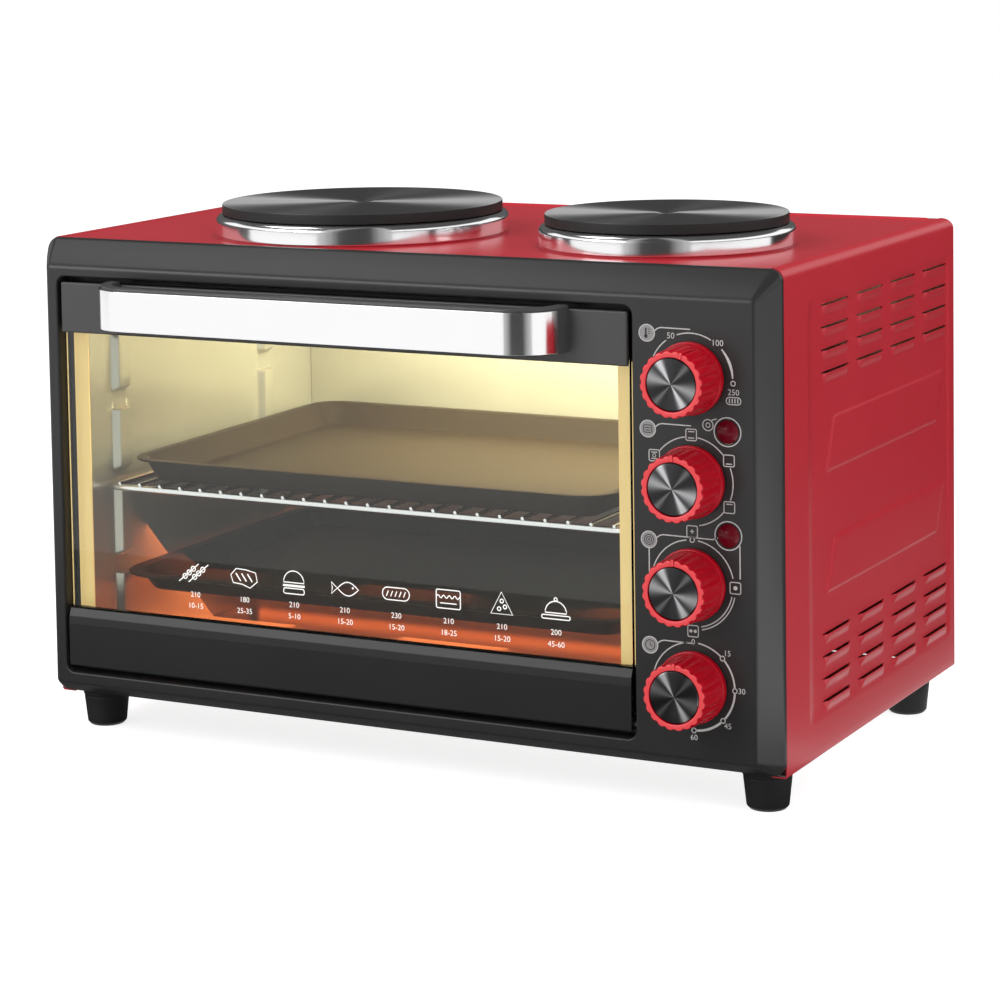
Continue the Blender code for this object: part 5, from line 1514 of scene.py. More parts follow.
@dataclass
class Feet:
    """Four rubber feet with a groove and a hollow in the sole."""

    sizes: OvenSizes
    height: float = 0.0245
    top_radius: float = 0.0157
    low_radius: float = 0.0130
    side: float = 0.021
    rows: Flat = (0.041, 0.285)

    def build(self, bench: Bench) -> None:
        """Builds the four feet."""
        top = -self.sizes.casing_lip - GAP
        sole = top - self.height
        wide, narrow = self.top_radius, self.low_radius
        profile = softened([
            (0, top, 0), (wide - 0.0004, top, 0), (wide, top - 0.0008, 0.0008),
            (wide - 0.0003, top - 0.0035, 0.0004), (wide - 0.0010, top - 0.0042, 0.0004),
            (wide - 0.0008, top - 0.0052, 0.0004), (narrow, sole + 0.0020, 0.001),
            (narrow - 0.0018, sole, 0.0012), (0.0060, sole, 0.0006),
            (0.0052, sole + 0.0025, 0.0008), (0, sole + 0.0025, 0)], 5)
        for row, y in zip(("front", "rear"), self.rows):
            for side, x in (("left", -1), ("right", 1)):
                place = Vector((x * (self.sizes.half_width - self.side), y, 0))
                node = f"foot_{row}_{side}"
                bench.place("rubber_" + node, lathe("foot", profile, place, steps=64), (RUBBER,),
                            "foot_rubber", (node,))


@dataclass
class Door:
    """Drop-down door: pane, lower panel, rails, handle with bright strip and stays."""

    sizes: OvenSizes
    panel_height: float = 0.038
    panel_sheet: float = 0.0012
    panel_bevel: float = 0.005
    plate_height: float = 0.033
    plate_depth: float = 0.0035
    reach: float = 0.032
    curve: float = 0.030
    bar_depth: float = 0.008
    bar_rise: float = 0.0065
    bar_height: float = 0.029
    inset: float = 0.0385
    strip_depth: float = 0.001
    strip_height: float = 0.0257
    strip_start: float = 0.012
    rail_foot: Flat = (0.009, 0.009)
    root_share: float = 0.5
    strip_gap: float = 0.3
    edges: tuple[float, ...] = (0.0006, 0.0004, 0.0011, 0.0016, 0.00035)

    def bar_path(self, inset: float, start: float, steps: int = 20) -> list[Flat]:
        """Front side of the bar seen from above, from its left root to its right root.

        Args:
            inset: How far the path is moved towards the door.
            start: Depth at which it starts, in front of the roots.
            steps: Parts in each bend.

        Returns:
            Points as (x, y).
        """
        left = self.sizes.door_x[0] + self.inset
        right = self.sizes.door_x[1] - self.inset
        root = self.sizes.glass_front - GAP - self.plate_depth
        reach = self.reach + root
        begin = math.degrees(math.asin(max(0.0, start) / reach))
        bends = ((left + self.curve, 180 + begin, 270), (right - self.curve, 270, 360 - begin))
        return [(centre + (self.curve - inset) * u, root + (reach - inset) * v)
                for centre, first, last in bends for u, v in arc((0, 0), 1.0, first, last, steps)]

    def build(self, bench: Bench) -> None:
        """Builds every piece of the door."""
        self.build_panes(bench)
        self.build_handle(bench)
        for side in ("left", "right"):
            bench.soften_node("door_stay_" + side, ZINC_STEEL, "zinc_steel", 0.0002)
            bench.soften_node("hinge_pin_" + side, ZINC_STEEL, "zinc_steel", 0.0003)

    def build_panes(self, bench: Bench) -> None:
        """Builds the pane, the dark lower panel and the two rails."""
        sizes = self.sizes
        edge = GAP * 2
        (left, right), (low, high) = sizes.door_x, sizes.door_z
        pane = block("pane", (left + edge, sizes.glass_front, low + self.rail_foot[0] + edge),
                     (right - edge, sizes.glass_back, high - edge))
        bench.place("door_pane", weighted(pane, self.edges[0], 2), (DOOR_GLASS,), "clear_glass",
                    ("door_glass",), smooth=None)
        top = low + self.panel_height
        lip = sizes.glass_front - GAP - self.panel_sheet
        foot = sizes.door_back - self.rail_foot[1] - GAP
        path = softened([(lip, top, 0), (0.0004, top - self.panel_bevel, 0.003),
                         (0, top - self.panel_bevel * 2, 0.01), (0, low, 0.0012), (foot, low, 0)], 5)
        mesh = prism("lower_panel", sheet_band(path, self.panel_sheet), "X", left, right)
        bench.place("door_kick_panel", weighted(mesh, self.edges[1], 2, 50.0), (KICK_PAINT,),
                    "dark_bezel", ("door_lower_panel",), smooth=None)
        for node in ("door_lower_rail", "door_upper_rail"):
            bench.soften_node(node, BLACK_PLASTIC, "zinc_steel", 0.0003)

    def build_handle(self, bench: Bench) -> None:
        """Builds the moulding and the strip on its front."""
        sizes = self.sizes
        (left, right), (_low, high) = sizes.door_x, sizes.door_z
        back = sizes.glass_front - GAP
        front = back - self.plate_depth
        plate_low = high - self.plate_height
        plate = weighted(block("plate", (left, front, plate_low), (right, back, high)), self.edges[2], 4)
        outer, inner = self.bar_path(0, 0), self.bar_path(self.bar_depth, 0)[::-1]
        sunk = front + self.plate_depth * self.root_share
        outline = []
        for side in (outer, inner):
            outline += [(side[0][0], sunk), *side, (side[-1][0], sunk)]
        bar_low = plate_low + self.bar_rise
        bar = weighted(prism("bar", outline, "Z", bar_low, bar_low + self.bar_height), self.edges[3], 4,
                       40.0)
        bench.place("handle_moulding", joined("handle", [plate, bar]), (HANDLE_PLASTIC,), "black_plastic",
                    ("door_handle",), smooth=40.0)
        face = self.bar_path(-GAP * self.strip_gap, self.strip_start)
        skin = self.bar_path(-GAP - self.strip_depth, self.strip_start)
        strip_low = bar_low + (self.bar_height - self.strip_height) / 3
        strip = prism("strip", face + skin[::-1], "Z", strip_low, strip_low + self.strip_height)
        bench.place("handle_strip", weighted(strip, self.edges[4], 3, 40.0), (CHROME,), "chrome",
                    ("handle_trim",), smooth=None)


@dataclass
class Controls:
    """Four fluted knobs with spun caps, and the two lamp lenses."""

    sizes: OvenSizes
    names: tuple[str, ...] = ("thermostat", "function", "hotplate", "timer")
    turns: tuple[float, ...] = (20.0, 0.0, 0.0, 0.0)
    length: float = 0.029
    clear: float = 0.0008
    skirt: Flat = (0.0218, 0.0042)
    grip: Flat = (0.0210, 0.0199)
    flute: float = 0.0011
    flutes: int = 20
    recess: Flat = (0.0160, 0.0020)
    cap_depth: float = 0.0014
    bore: Flat = (0.0033, 0.0191)
    pointer: Flat = (0.0022, 0.0006)
    lens: Flat = (0.0070, 0.0030)
    lip: float = 0.0006
    crown: float = 0.0010
    flute_start: float = 0.35
    lens_steps: int = 14

    def ring(self, radius: float, depth: float, y: float, steps: int = 240) -> list[Vector]:
        """Ring of the knob with shallow flutes of one depth."""
        points = []
        for k in range(steps):
            angle = 2 * math.pi * k / steps
            groove = (0.5 + 0.5 * math.cos(self.flutes * angle)) ** 2
            reach = radius - depth * groove
            points.append(Vector((reach * math.sin(angle), y, reach * math.cos(angle))))
        return points

    def knob_mesh(self) -> Mesh:
        """Knob about its axis with the pointer straight up."""
        back, front = -self.clear, -self.length
        (skirt_r, skirt_l), (low_r, high_r) = self.skirt, self.grip
        (mouth_r, mouth_d), (bore_r, bore_d) = self.recess, self.bore
        shoulder = back - skirt_l
        section = [(bore_r, 0, -bore_d), (bore_r, 0, back), (skirt_r - self.lip, 0, back),
                   (skirt_r, 0, back - self.lip)]
        skirt = softened([(skirt_r, back - 0.001, 0), (skirt_r, shoulder, 0.0012),
                          (low_r, shoulder - 0.0002, 0.0003), (low_r - 0.0001, shoulder - 0.002, 0)], 5)
        section += [(radius, 0, y) for radius, y in skirt]
        for share in (0.12, 0.25, 0.4, 0.55, 0.7, 0.85, 0.94):
            section.append((low_r + (high_r - low_r) * share,
                            self.flute * smooth_step(0.0, self.flute_start, share),
                            shoulder + (front - shoulder) * share))
        for degrees in (0, 22, 45, 68, 90):
            angle = math.radians(degrees)
            section.append((high_r - self.crown * (1 - math.cos(angle)),
                            self.flute * (0.9 - 0.35 * degrees / 90),
                            front + self.crown * (1 - math.sin(angle))))
        section += [(mouth_r + 0.0007, 0, front), (mouth_r + 0.0002, 0, front + 0.0002),
                    (mouth_r, 0, front + 0.0006), (mouth_r, 0, front + mouth_d)]
        body = loft("knob", [self.ring(radius, depth, y) for radius, depth, y in section])
        width, rise = self.pointer
        bar = block("pointer", (-width / 2, front - rise, mouth_r + 0.0002),
                    (width / 2, shoulder - 0.0042, high_r + 0.0006))
        return joined("knob", [body, weighted(bar, 0.0005, 3)])

    def build(self, bench: Bench) -> None:
        """Builds knobs, caps and lenses and softens what is behind the panel."""
        sizes = self.sizes
        cap_r = self.recess[0] - GAP
        low = self.length - self.recess[1] + GAP
        top = low + self.cap_depth
        cap = softened([(0, top - 0.0001, 0), (cap_r * 0.5, top - 0.0001, 0.01),
                        (cap_r - 0.0006, top, 0.0004), (cap_r, top - 0.0005, 0.0003), (cap_r, low, 0),
                        (0, low, 0)], 4)
        for name, z, degrees in zip(self.names, sizes.knob_z, self.turns):
            place = Vector((sizes.knob_x, 0, z))
            mesh = self.knob_mesh()
            # Faces that look to the front take the lighter red: a painted highlight.
            for face in mesh.polygons:
                face.material_index = int(face.normal.y < -0.8
                                          and face.center.y < self.crown - self.length)
            mesh.transform(Matrix.Translation(place) @ Matrix.Rotation(math.radians(degrees), 4, "Y"))
            bench.place(name + "_grip", mesh, (KNOB_PLASTIC, KNOB_FACE_PAINTED_HIGHLIGHT), "knob_red", (name + "_knob",),
                        smooth=38.0)
            disc = lathe("cap", cap, place, Facing.FRONT, 120)
            bench.place(name + "_disc", disc, (SPUN_METAL,), "spun_metal", (name + "_cap",))
            bench.soften_node(name + "_shaft", ZINC_STEEL, "zinc_steel", 0.0003)
            bench.soften_node(name + "_switch", BLACK_PLASTIC, "black_plastic", 0.0006)
        edge, rise = self.lens
        ball = (edge ** 2 + rise ** 2) / (2 * rise)
        radii = [edge * k / self.lens_steps for k in range(self.lens_steps + 1)]
        lens = [(radius, math.sqrt(ball ** 2 - radius ** 2) - ball + rise) for radius in radii]
        lens += [(edge, -0.0020), (0.0055, -0.0020), (0.0055, -0.0116), (0.0051, -0.0120), (0, -0.0120)]
        for name, z in zip(("power", "heating"), sizes.lens_z):
            mesh = lathe("lens", lens, Vector((sizes.lens_x, 0, z)), Facing.FRONT, 64)
            bench.place(name + "_lens_dome", mesh, (RED_LENS,), "red_lens", (name + "_lamp_lens",))


@dataclass(frozen=True)
class Dial:
    """What is printed round one knob: angles in degrees, lengths in tenths of a millimetre."""

    badge: tuple[Mark, ...]
    badge_rise: float
    leaders: tuple[Mark, ...] = ()
    sweeps: tuple[tuple[float, float, float, float], ...] = ()
    figures: tuple[tuple[str, float, float, float], ...] = ()
    rings: tuple[Flat, ...] = ()
    signs: tuple[tuple[tuple[Mark, ...], float, float], ...] = ()


SIGN_BOX = (Shape.BOX, 6, 0, 0, 34, 34, 10)
UPPER_ROD = (Shape.LINE, 6, -20, 19, 20, 19)
LOWER_ROD = (Shape.LINE, 6, -20, -19, 20, -19)
BADGE_RING = (Shape.RING, 5, 0, 0, 30)
LEADER = (46, 12, 70, 30, 90, 36, 280, 34)
DIALS = (
    Dial(((Shape.LINE, 10, -6, 30, -6, -12), (Shape.DISC, 0, -6, -20, 11), (Shape.LINE, 4, 8, 22, 22, 22),
          (Shape.LINE, 4, 8, 9, 22, 9), (Shape.LINE, 4, 8, -4, 22, -4)), 253,
         sweeps=((-70, -36, 0, 1), (-19, 30, 0, 1)), figures=(("50", -27.5, 8, 52), ("100", 39, 10, 52)),
         rings=((94, 6),)),
    Dial(((Shape.BOX, 5, 0, 0, 26, 22, 5), (Shape.LINE, 5, -18, 6, 18, 6),
          (Shape.LINE, 5, -14, -9, 14, -9)),
         296, sweeps=((-50, -9, 0, 1), (9, 51, 0, 1), (69, 111, 0, 1), (129, 170, 0, 1)),
         signs=(((UPPER_ROD, LOWER_ROD), 0, 12), ((LOWER_ROD,), 60, 12), ((UPPER_ROD,), 120, 12),
                ((UPPER_ROD, LOWER_ROD, (Shape.RING, 4, 0, 0, 10)), -60, 12),
                (((Shape.LINE, 6, 0, 12, 0, -12), (Shape.LINE, 6, -12, 0, 12, 0)), 180, 35))),
    Dial((BADGE_RING, (Shape.RING, 5, 0, 0, 17), (Shape.DISC, 0, 0, 0, 6)), 246,
         leaders=((Shape.LINE, 7, 0, -50, 0, -200, 10, -225), (Shape.LINE, 7, 585, 10, 585, -190),
                  (Shape.LINE, 7, *LEADER, 410, 32, 440, 40, 455, 55)),
         sweeps=((8, 78, 0, 1), (102, 168, -8, 1), (102, 168, 10, 1), (-72, -8, 0, 1)), rings=((0, 0),),
         signs=((((Shape.DISC, 0, 0, 0, 13),), 90, 9),
                (((Shape.DISC, 0, -14, 0, 10), (Shape.DISC, 0, 14, 0, 10)), 180, 17))),
    Dial((BADGE_RING, (Shape.LINE, 5, 0, 20, 0, 0, 14, -8)), 225,
         sweeps=((7, 41, 0, 1.25), (49, 86, 0, 1.5), (94, 131, 0, 1.75), (139, 176, 0, 2), (-76, -7, 0, 1)),
         figures=(("15", 45, 44, 48), ("30", 90, 44, 48), ("45", 135, 44, 48), ("60", 180, 44, 48),
                  ("0", 0, 3, 48)),
         rings=((45, 0), (90, 0), (135, 0), (180, 0), (-80, 0))))
@dataclass
class PanelPrints:
    """Scales, figures and plain signs printed on the control panel."""

    sizes: OvenSizes
    line: float = 0.0007
    thin: float = 0.0006
    dial: float = 0.0265
    icon: float = 0.0050
    icon_x: float = 0.1810
    ring: float = 0.0014
    steps: int = 24
    swell: Flat = (0.0008, 0.0009)
    swell_turn: Flat = (48.0, 88.0)
    top_drops: Flat = (0.0073, 0.0122)
    top_size: float = 0.0050
    lamp_sign: Flat = (-0.0124, 0.0034)

    def around(self, z: float, degrees: float, extra: float) -> Flat:
        """Place on a dial, clockwise from the top, some tenths of a millimetre past its circle."""
        angle = math.radians(degrees)
        radius = self.dial + extra * TENTH
        return (self.sizes.knob_x + radius * math.sin(angle), z + radius * math.cos(angle))

    def sweep(self, z: float, start: float, end: float, extra: float) -> list[Flat]:
        """Points of a part of a dial."""
        return [self.around(z, start + (end - start) * k / self.steps, extra)
                for k in range(self.steps + 1)]

    def build(self, bench: Bench) -> None:
        """Prints the whole control panel."""
        sheet = PrintSheet(0.0)
        sizes = self.sizes
        for z, dial in zip(sizes.knob_z, DIALS):
            centre = (self.icon_x, z + dial.badge_rise * TENTH)
            sheet.disc(centre, self.icon, ink=2)
            sheet.circle(centre, self.icon, self.thin, 1)
            sheet.draw(centre, dial.badge, 1, 1)
            sheet.draw(centre, dial.leaders or ((Shape.LINE, 7, *LEADER),))
            for start, end, extra, widths in dial.sweeps:
                sheet.stroke(self.sweep(z, start, end, extra), self.line * widths)
            for words, degrees, extra, size in dial.figures:
                sheet.label(words, self.around(z, degrees, extra), size * TENTH)
            for degrees, extra in dial.rings:
                sheet.circle(self.around(z, degrees, extra), self.ring, self.thin)
            for marks, degrees, extra in dial.signs:
                sheet.draw(self.around(z, degrees, extra), (SIGN_BOX, *marks))
        self.highest(sheet, sizes.knob_z[0])
        for z in sizes.lens_z:
            sheet.draw((sizes.lens_x, z), ((Shape.RING, 7, 0, 0, 85),))
            sheet.draw((sizes.lens_x, z), ((Shape.RING, 9, 0, 0, 77),), ink=1)
        centre = (sizes.lens_x + self.lamp_sign[0], sizes.lens_z[0] + self.lamp_sign[1])
        sheet.draw(centre, ((Shape.RING, 6, 0, 0, 33), (Shape.RING, 5, 0, 0, 13),
                            (Shape.LINE, 6, 24, 30, 55, 40)))
        bench.place("panel_prints", sheet.mesh("panel_prints"), (PRINT_INK, DARK_INK, MID_INK),
                    "ceramic", smooth=None)

    def highest(self, sheet: PrintSheet, z: float) -> None:
        """Prints the swelling end of the temperature scale and the sign for both rods."""
        points = self.sweep(z, *self.swell_turn, 3)
        for index in range(self.steps):
            swelling = math.sin(math.pi * index / (self.steps - 1))
            sheet.stroke(points[index:index + 2], self.swell[0] + self.swell[1] * swelling)
        u = self.around(z, 94, 6)[0] + 2 * TENTH
        sheet.label("250", (u, z - self.top_drops[0]), self.top_size)
        sheet.draw((u, z - self.top_drops[1]), (
            (Shape.BOX, 6, 0, 0, 46, 21, 19),
            *((Shape.LINE, 7, across, -13, across, 13) for across in (-26, -8.5, 9, 26.5))))


SKEWERS = ((Shape.LINE, 5, -85, -40, 20, 45), (Shape.RING, 5, -53, -15, 11), (Shape.RING, 5, -31, 3, 11),
           (Shape.RING, 5, -9, 21, 11), (Shape.LINE, 5, -35, -40, 70, 45), (Shape.RING, 5, -3, -15, 11),
           (Shape.RING, 5, 19, 3, 11), (Shape.RING, 5, 41, 21, 11))
GRILLED_CUT = ((Shape.LOOP, 5, -68, 12, -40, 42, 10, 40, 60, 30, 68, -10, 30, -40, -10, -26, -56, -22),
               (Shape.LINE, 7, -42, 22, -18, -12), (Shape.LINE, 7, -12, 22, 12, -12),
               (Shape.LINE, 7, 18, 22, 42, -12))
ROUND_ROLL = ((Shape.DOME, 5, 0, 4, 52, 12), (Shape.LINE, 10, -55, -10, 55, -10),
              (Shape.BOX, 5, 0, -34, 52, 12, 8))
FISH = ((Shape.LOOP, 5, *(number for k in range(20) for number in
                          (-35 + 10.5 * min(k, 20 - k), 30 * math.sin(math.pi * k / 10)))),
        (Shape.LOOP, 5, -35, 0, -66, 26, -60, 0, -66, -26), (Shape.DISC, 0, 42, 6, 5))
LONG_LOAF = ((Shape.BOX, 5, 0, 0, 66, 27, 26),
             *((Shape.LINE, 5, across - 5, -12, across + 5, 12) for across in (-42, -21, 0, 21, 42)))
BAKING_DISH = ((Shape.BOX, 5, 0, 0, 58, 40, 8),
               (Shape.LINE, 5, *(number for k in range(21) for number in
                                 (-56 + 5.6 * k, 10 + 7 * math.sin(1.3 * k)))),
               (Shape.LINE, 5, -40, -18, 40, -18))
PIE_SLICE = ((Shape.LOOP, 5, 0, 55, 52, -40, -52, -40), (Shape.RING, 5, -12, -18, 8),
             (Shape.RING, 5, 16, -8, 8), (Shape.RING, 5, 1, 16, 8))
COVERED_PLATE = ((Shape.DOME, 5, 0, -12, 50, 14), (Shape.BOX, 5, 0, -30, 66, 8, 7),
                 (Shape.RING, 5, 0, 46, 7))
@dataclass
class PanePrints:
    """Row of cooking signs on the pane, each with two lines of plain figures."""

    sizes: OvenSizes
    start: float = -0.1425
    pitch: float = 0.0370
    height: float = 0.0905
    zoom: float = 1.45
    drops: Flat = (0.0138, 0.0212)
    type_size: float = 0.0050
    columns: tuple[tuple[tuple[Mark, ...], str, str], ...] = (
        (SKEWERS, "210", "10-15"), (GRILLED_CUT, "180", "25-35"), (ROUND_ROLL, "210", "5-10"),
        (FISH, "210", "15-20"), (LONG_LOAF, "230", "15-20"), (BAKING_DISH, "210", "18-25"),
        (PIE_SLICE, "210", "15-20"), (COVERED_PLATE, "200", "45-60"))

    def build(self, bench: Bench) -> None:
        """Prints signs and figures; they ride on the door."""
        sheet = PrintSheet(self.sizes.glass_front)
        for index, (marks, *lines) in enumerate(self.columns):
            centre = (self.start + self.pitch * index, self.height)
            sheet.pivot, sheet.zoom = centre, self.zoom
            sheet.draw(centre, marks)
            sheet.zoom = 1.0
            for words, drop in zip(lines, self.drops):
                sheet.label(words, (centre[0], self.height - drop), self.type_size)
        bench.place("pane_prints", sheet.mesh("pane_prints"), (WHITE_INK,), "ceramic", body="door",
                    smooth=None)


@dataclass
class Cavity:
    """Oven chamber with pressed side walls, heating rods, lamp, rack and trays."""

    sizes: OvenSizes
    pad_out: float = 0.005
    pad_taper: float = 0.003
    pads: tuple[Flat, Flat] = ((0.0385, 0.0195), (0.222, 0.018))
    pad_foot: float = 0.004
    pad_top: float = 0.238
    slot: float = 0.010
    rack_front: float = 0.016
    rack_back: float = 0.010
    rack_radius: float = 0.008
    rack_pitch: float = 0.0156
    tray_sheet: float = 0.0012
    pad_edge: float = 0.0012
    pad_curves: Flat = (1.3, 1.6)
    tray_rim: float = 0.0006
    tray_flare: float = 0.008
    tray_reach: float = 0.05
    window: tuple[Flat, Flat] = ((0.0012, -0.0012), (0.0370, -0.0320))
    rods: tuple[tuple[str, int, int], ...] = (
        ("lower_front", 0, 0), ("lower_rear", 1, 0), ("upper_front", 0, 1), ("upper_rear", 1, 1))
    rod_y: Flat = (0.060, 0.200)
    rod_z: Flat = (0.011, -0.016)
    rod_radius: float = 0.0033
    lamp_place: Flat = (0.110, 0.042)

    def pad_spans(self) -> list[Flat]:
        """Height ranges of the pads between the shelf grooves."""
        spans = []
        low = self.sizes.cavity_z[0] + self.pad_foot
        for height in self.sizes.shelves:
            edge = height - self.sizes.frame_wire - GAP
            spans.append((low, edge))
            low = edge + self.slot
        return spans + [(low, self.pad_top)]

    def pad_relief(self, y: float, z: float) -> float:
        """How far a pad stands out of a side wall at a place."""
        out = 0.0
        for near, width in self.pads:
            across = plateau(near, near + width, self.pad_taper * self.pad_curves[0], y)
            for low, high in self.pad_spans():
                foot = smooth_step(low, low + self.pad_taper * self.pad_curves[1], z)
                head = 1 - smooth_step(high - self.pad_edge, high, z)
                out += self.pad_out * across * foot * head
        return out

    def build(self, bench: Bench) -> None:
        """Builds the chamber and all that is in it."""
        for side, sign in (("left", 1), ("right", -1)):
            self.build_wall(bench, side, sign)
        for node in ("cavity_floor", "cavity_ceiling", "cavity_wall_back"):
            bench.soften_node(node, CAVITY_STEEL, "zinc_steel", 0.0002)
        window = tuple((span[0] + margins[0], span[1] + margins[1]) for span, margins in
                       zip((self.sizes.door_x, self.sizes.door_z), self.window))
        # Inside the window the frame gets its painted light: a bright warm colour and a glow.
        bench.soften_node("cavity_frame", FRAME_STEEL_PAINTED_LIGHT, "zinc_steel", 0.0002, KICK_PAINT, window)
        self.build_rods(bench)
        self.build_rack(bench)
        self.build_trays(bench)

    def build_wall(self, bench: Bench, side: str, sign: int) -> None:
        """Builds one pressed side wall."""
        sizes = self.sizes
        x = sizes.cavity_x[0] if sign > 0 else sizes.cavity_x[1]
        fine_y: list[float] = []
        for near, width in self.pads:
            fine_y += spread(near, near + 0.004, 0.0005)
            fine_y += spread(near + width - 0.004, near + width, 0.0005)
        fine_z: list[float] = []
        for low, high in self.pad_spans():
            fine_z += spread(low, low + 0.005, 0.0008) + spread(high - self.pad_edge, high, 0.0003)
        ends_y = list(sizes.cavity_y)
        ends_z = [sizes.cavity_z[0] - sizes.sheet, sizes.cavity_z[1] + sizes.sheet]
        ys, zs = (sorted_lines((ends, fine, spread(*ends, 0.008)), 0.0002)
                  for ends, fine in ((ends_y, fine_y), (ends_z, fine_z)))
        rows = [[Vector((x + sign * self.pad_relief(y, z), y, z)) for y in ys] for z in zs]
        mesh = sheet_grid("wall", rows, sizes.sheet, Vector((sign, 0, 0)))
        # Faces turned away from the chamber take the near-black steel: painted shade for the closed gap
        # behind the walls.
        for face in mesh.polygons:
            face.material_index = int(face.normal.x * sign < -0.5)
        bench.place("pressed_wall_" + side, mesh, (CAVITY_STEEL, ZINC_STEEL_PAINTED_SHADE), "zinc_steel",
                    ("cavity_wall_" + side,), smooth=50.0)

    def build_rods(self, bench: Bench) -> None:
        """Builds the heating rods with ceramic ends, and the oven lamp."""
        (left, right), (near, far), (floor, ceiling) = (
            self.sizes.cavity_x, self.sizes.cavity_y, self.sizes.cavity_z)
        inner = (right - left) / 2
        reach = inner - 0.004
        tip = reach + 0.001
        radius = self.rod_radius
        rod_path = softened([(0, -tip, 0), (radius, -tip, 0.0005), (radius, tip, 0.0005), (0, tip, 0)], 3)
        bush_path = softened([(0, reach, 0), (0.0058, reach, 0), (0.0065, reach + 0.0010, 0.0008),
                              (0.0065, inner + 0.0092, 0.0006), (0.0050, inner + 0.010, 0.0004),
                              (0.0015, inner + 0.010, 0), (0.0015, inner + 0.016, 0.0004),
                              (0, inner + 0.016, 0)], 3)
        for name, row, level in self.rods:
            place = Vector(((left + right) / 2, near + self.rod_y[row],
                            (floor, ceiling)[level] + self.rod_z[level]))
            parts = [numbered(lathe("rod", rod_path, place, Facing.RIGHT, 32), 0)]
            for facing in (Facing.LEFT, Facing.RIGHT):
                parts.append(numbered(lathe("bush", bush_path, place, facing, 32), 1))
            bench.place("glowing_rod_" + name, joined("rod", parts), (HEATER_SHEATH, CERAMIC),
                        "heater_sheath", ("heater_" + name,))
        place = Vector((right, far - self.lamp_place[0], ceiling - self.lamp_place[1]))
        dome = softened([(0, 0.0115, 0), (0.0050, 0.0110, 0.003), (0.0086, 0.0065, 0.003),
                         (0.0100, 0.0018, 0.001), (0.0136, 0.0018, 0), (0.0140, 0.0014, 0.0003),
                         (0.0140, 0.0003, 0), (0.0100, 0.0003, 0), (0.0100, -0.0060, 0),
                         (0, -0.0060, 0)], 5)
        bench.place("lamp_dome", lathe("dome", dome, place, Facing.LEFT, 48), (LAMP_GLASS,),
                    "clear_glass", ("oven_lamp_glass",))
        bench.soften_node("oven_lamp_socket", CERAMIC, "ceramic", 0.0006)

    def build_rack(self, bench: Bench) -> None:
        """Builds the wire rack with Geometry Nodes."""
        sizes = self.sizes
        inset = 0.001 + sizes.frame_wire
        low = (sizes.cavity_x[0] + inset, sizes.cavity_y[0] + self.rack_front)
        high = (sizes.cavity_x[1] - inset, sizes.cavity_y[1] - self.rack_back)
        z = sizes.shelves[1]
        chrome = bench.material(CHROME)
        loop = [Vector((u, v, z)) for u, v in rounded_box(low, high, self.rack_radius, 6)]
        frame = bench.wires.run("rack_frame", path_mesh("rack_frame", loop, True),
                                {"Radius": sizes.frame_wire, "Sides": 16, "Finish": chrome})
        end = (high[1] - low[1] + sizes.frame_wire * 1.6) / 2
        bar = softened([(0, -end, 0), (sizes.cross_wire, -end + 0.0001, 0.0005),
                        (sizes.cross_wire, end - 0.0001, 0.0005), (0, end, 0)], 3)
        wire = linked("cross_wire", lathe("cross_wire", bar, Vector(), Facing.UP, 10))
        span = high[0] - low[0] - 2 * self.rack_radius
        count = int(span / self.rack_pitch + 0.5) + 1
        level = z + sizes.frame_wire + sizes.cross_wire - sizes.wire_bite
        start, middle = low[0] + self.rack_radius, (low[1] + high[1]) / 2
        places = [(Vector((start + span * k / (count - 1), middle, level)), (QUARTER, 0.0, 0.0))
                  for k in range(count)]
        cross = bench.patterns.run("rack_wires", point_mesh("rack_wires", places),
                                   {"Pattern": wire, "Spin": 0.0, "Seed": 3, "Finish": chrome})
        bpy.data.objects.remove(wire)
        bench.place("rack_wires", joined("rack", [frame, cross]), (CHROME,), "chrome", ("wire_rack",))

    def tray(self, low: Flat, high: Flat, corner: float, floor: float, rim_z: float, rim: float) -> Mesh:
        """Sheet tray with sloping sides, rounded bends and a curled rim.

        Args:
            low: Left front corner of the rim.
            high: Right rear corner of the rim.
            corner: Corner radius of the rim.
            floor: Height of the underside.
            rim_z: Height of the rim's top.
            rim: Width of the rim.

        Returns:
            A closed mesh.
        """
        sheet, flare, edge = self.tray_sheet, self.tray_flare, self.tray_rim
        middle = 0.14
        path = [(middle, floor, 0), (rim + flare, floor, 0.004), (rim, rim_z - sheet, 0.0012),
                (edge, rim_z - sheet, 0), (0, rim_z - sheet * 0.5, 0.0005), (edge, rim_z, 0.0003),
                (rim + sheet * 0.8, rim_z, 0.0016), (rim + flare + sheet * 0.8, floor + sheet, 0.0035),
                (middle, floor + sheet, 0)]
        rings = []
        for across, z in softened(path, 5):
            inset = min(across, self.tray_reach)
            outline = inset_box(low, high, inset, max(corner - inset, 0.004), 8)
            rings.append([Vector((u, v, z)) for u, v in outline])
        return loft("tray", rings)

    def build_trays(self, bench: Bench) -> None:
        """Builds the tray on the rack and the tray below it."""
        sizes = self.sizes
        left, right = sizes.cavity_x
        middle = (left + right) / 2
        floor = sizes.shelves[1] + sizes.frame_wire + 2 * sizes.cross_wire - sizes.wire_bite + GAP
        rim_z = sizes.shelves[0] - sizes.frame_wire + self.tray_sheet
        for name, node, sides, near, length, corner, under, top, rim in (
                ("roasting_tray", "upper_tray", (middle - 0.175, middle + 0.175), 0.011, 0.262, 0.024,
                 floor, floor + 0.0158, 0.006),
                ("drip_tray", "lower_tray", (left + 0.0025, right - 0.0025), 0.015, 0.256, 0.030,
                 rim_z - 0.0125, rim_z, 0.009)):
            front = sizes.cavity_y[0] + near
            mesh = self.tray((sides[0], front), (sides[1], front + length), corner, under, top, rim)
            bench.place(name, mesh, (TRAY_ENAMEL,), "tray_enamel", (node,), smooth=45.0)


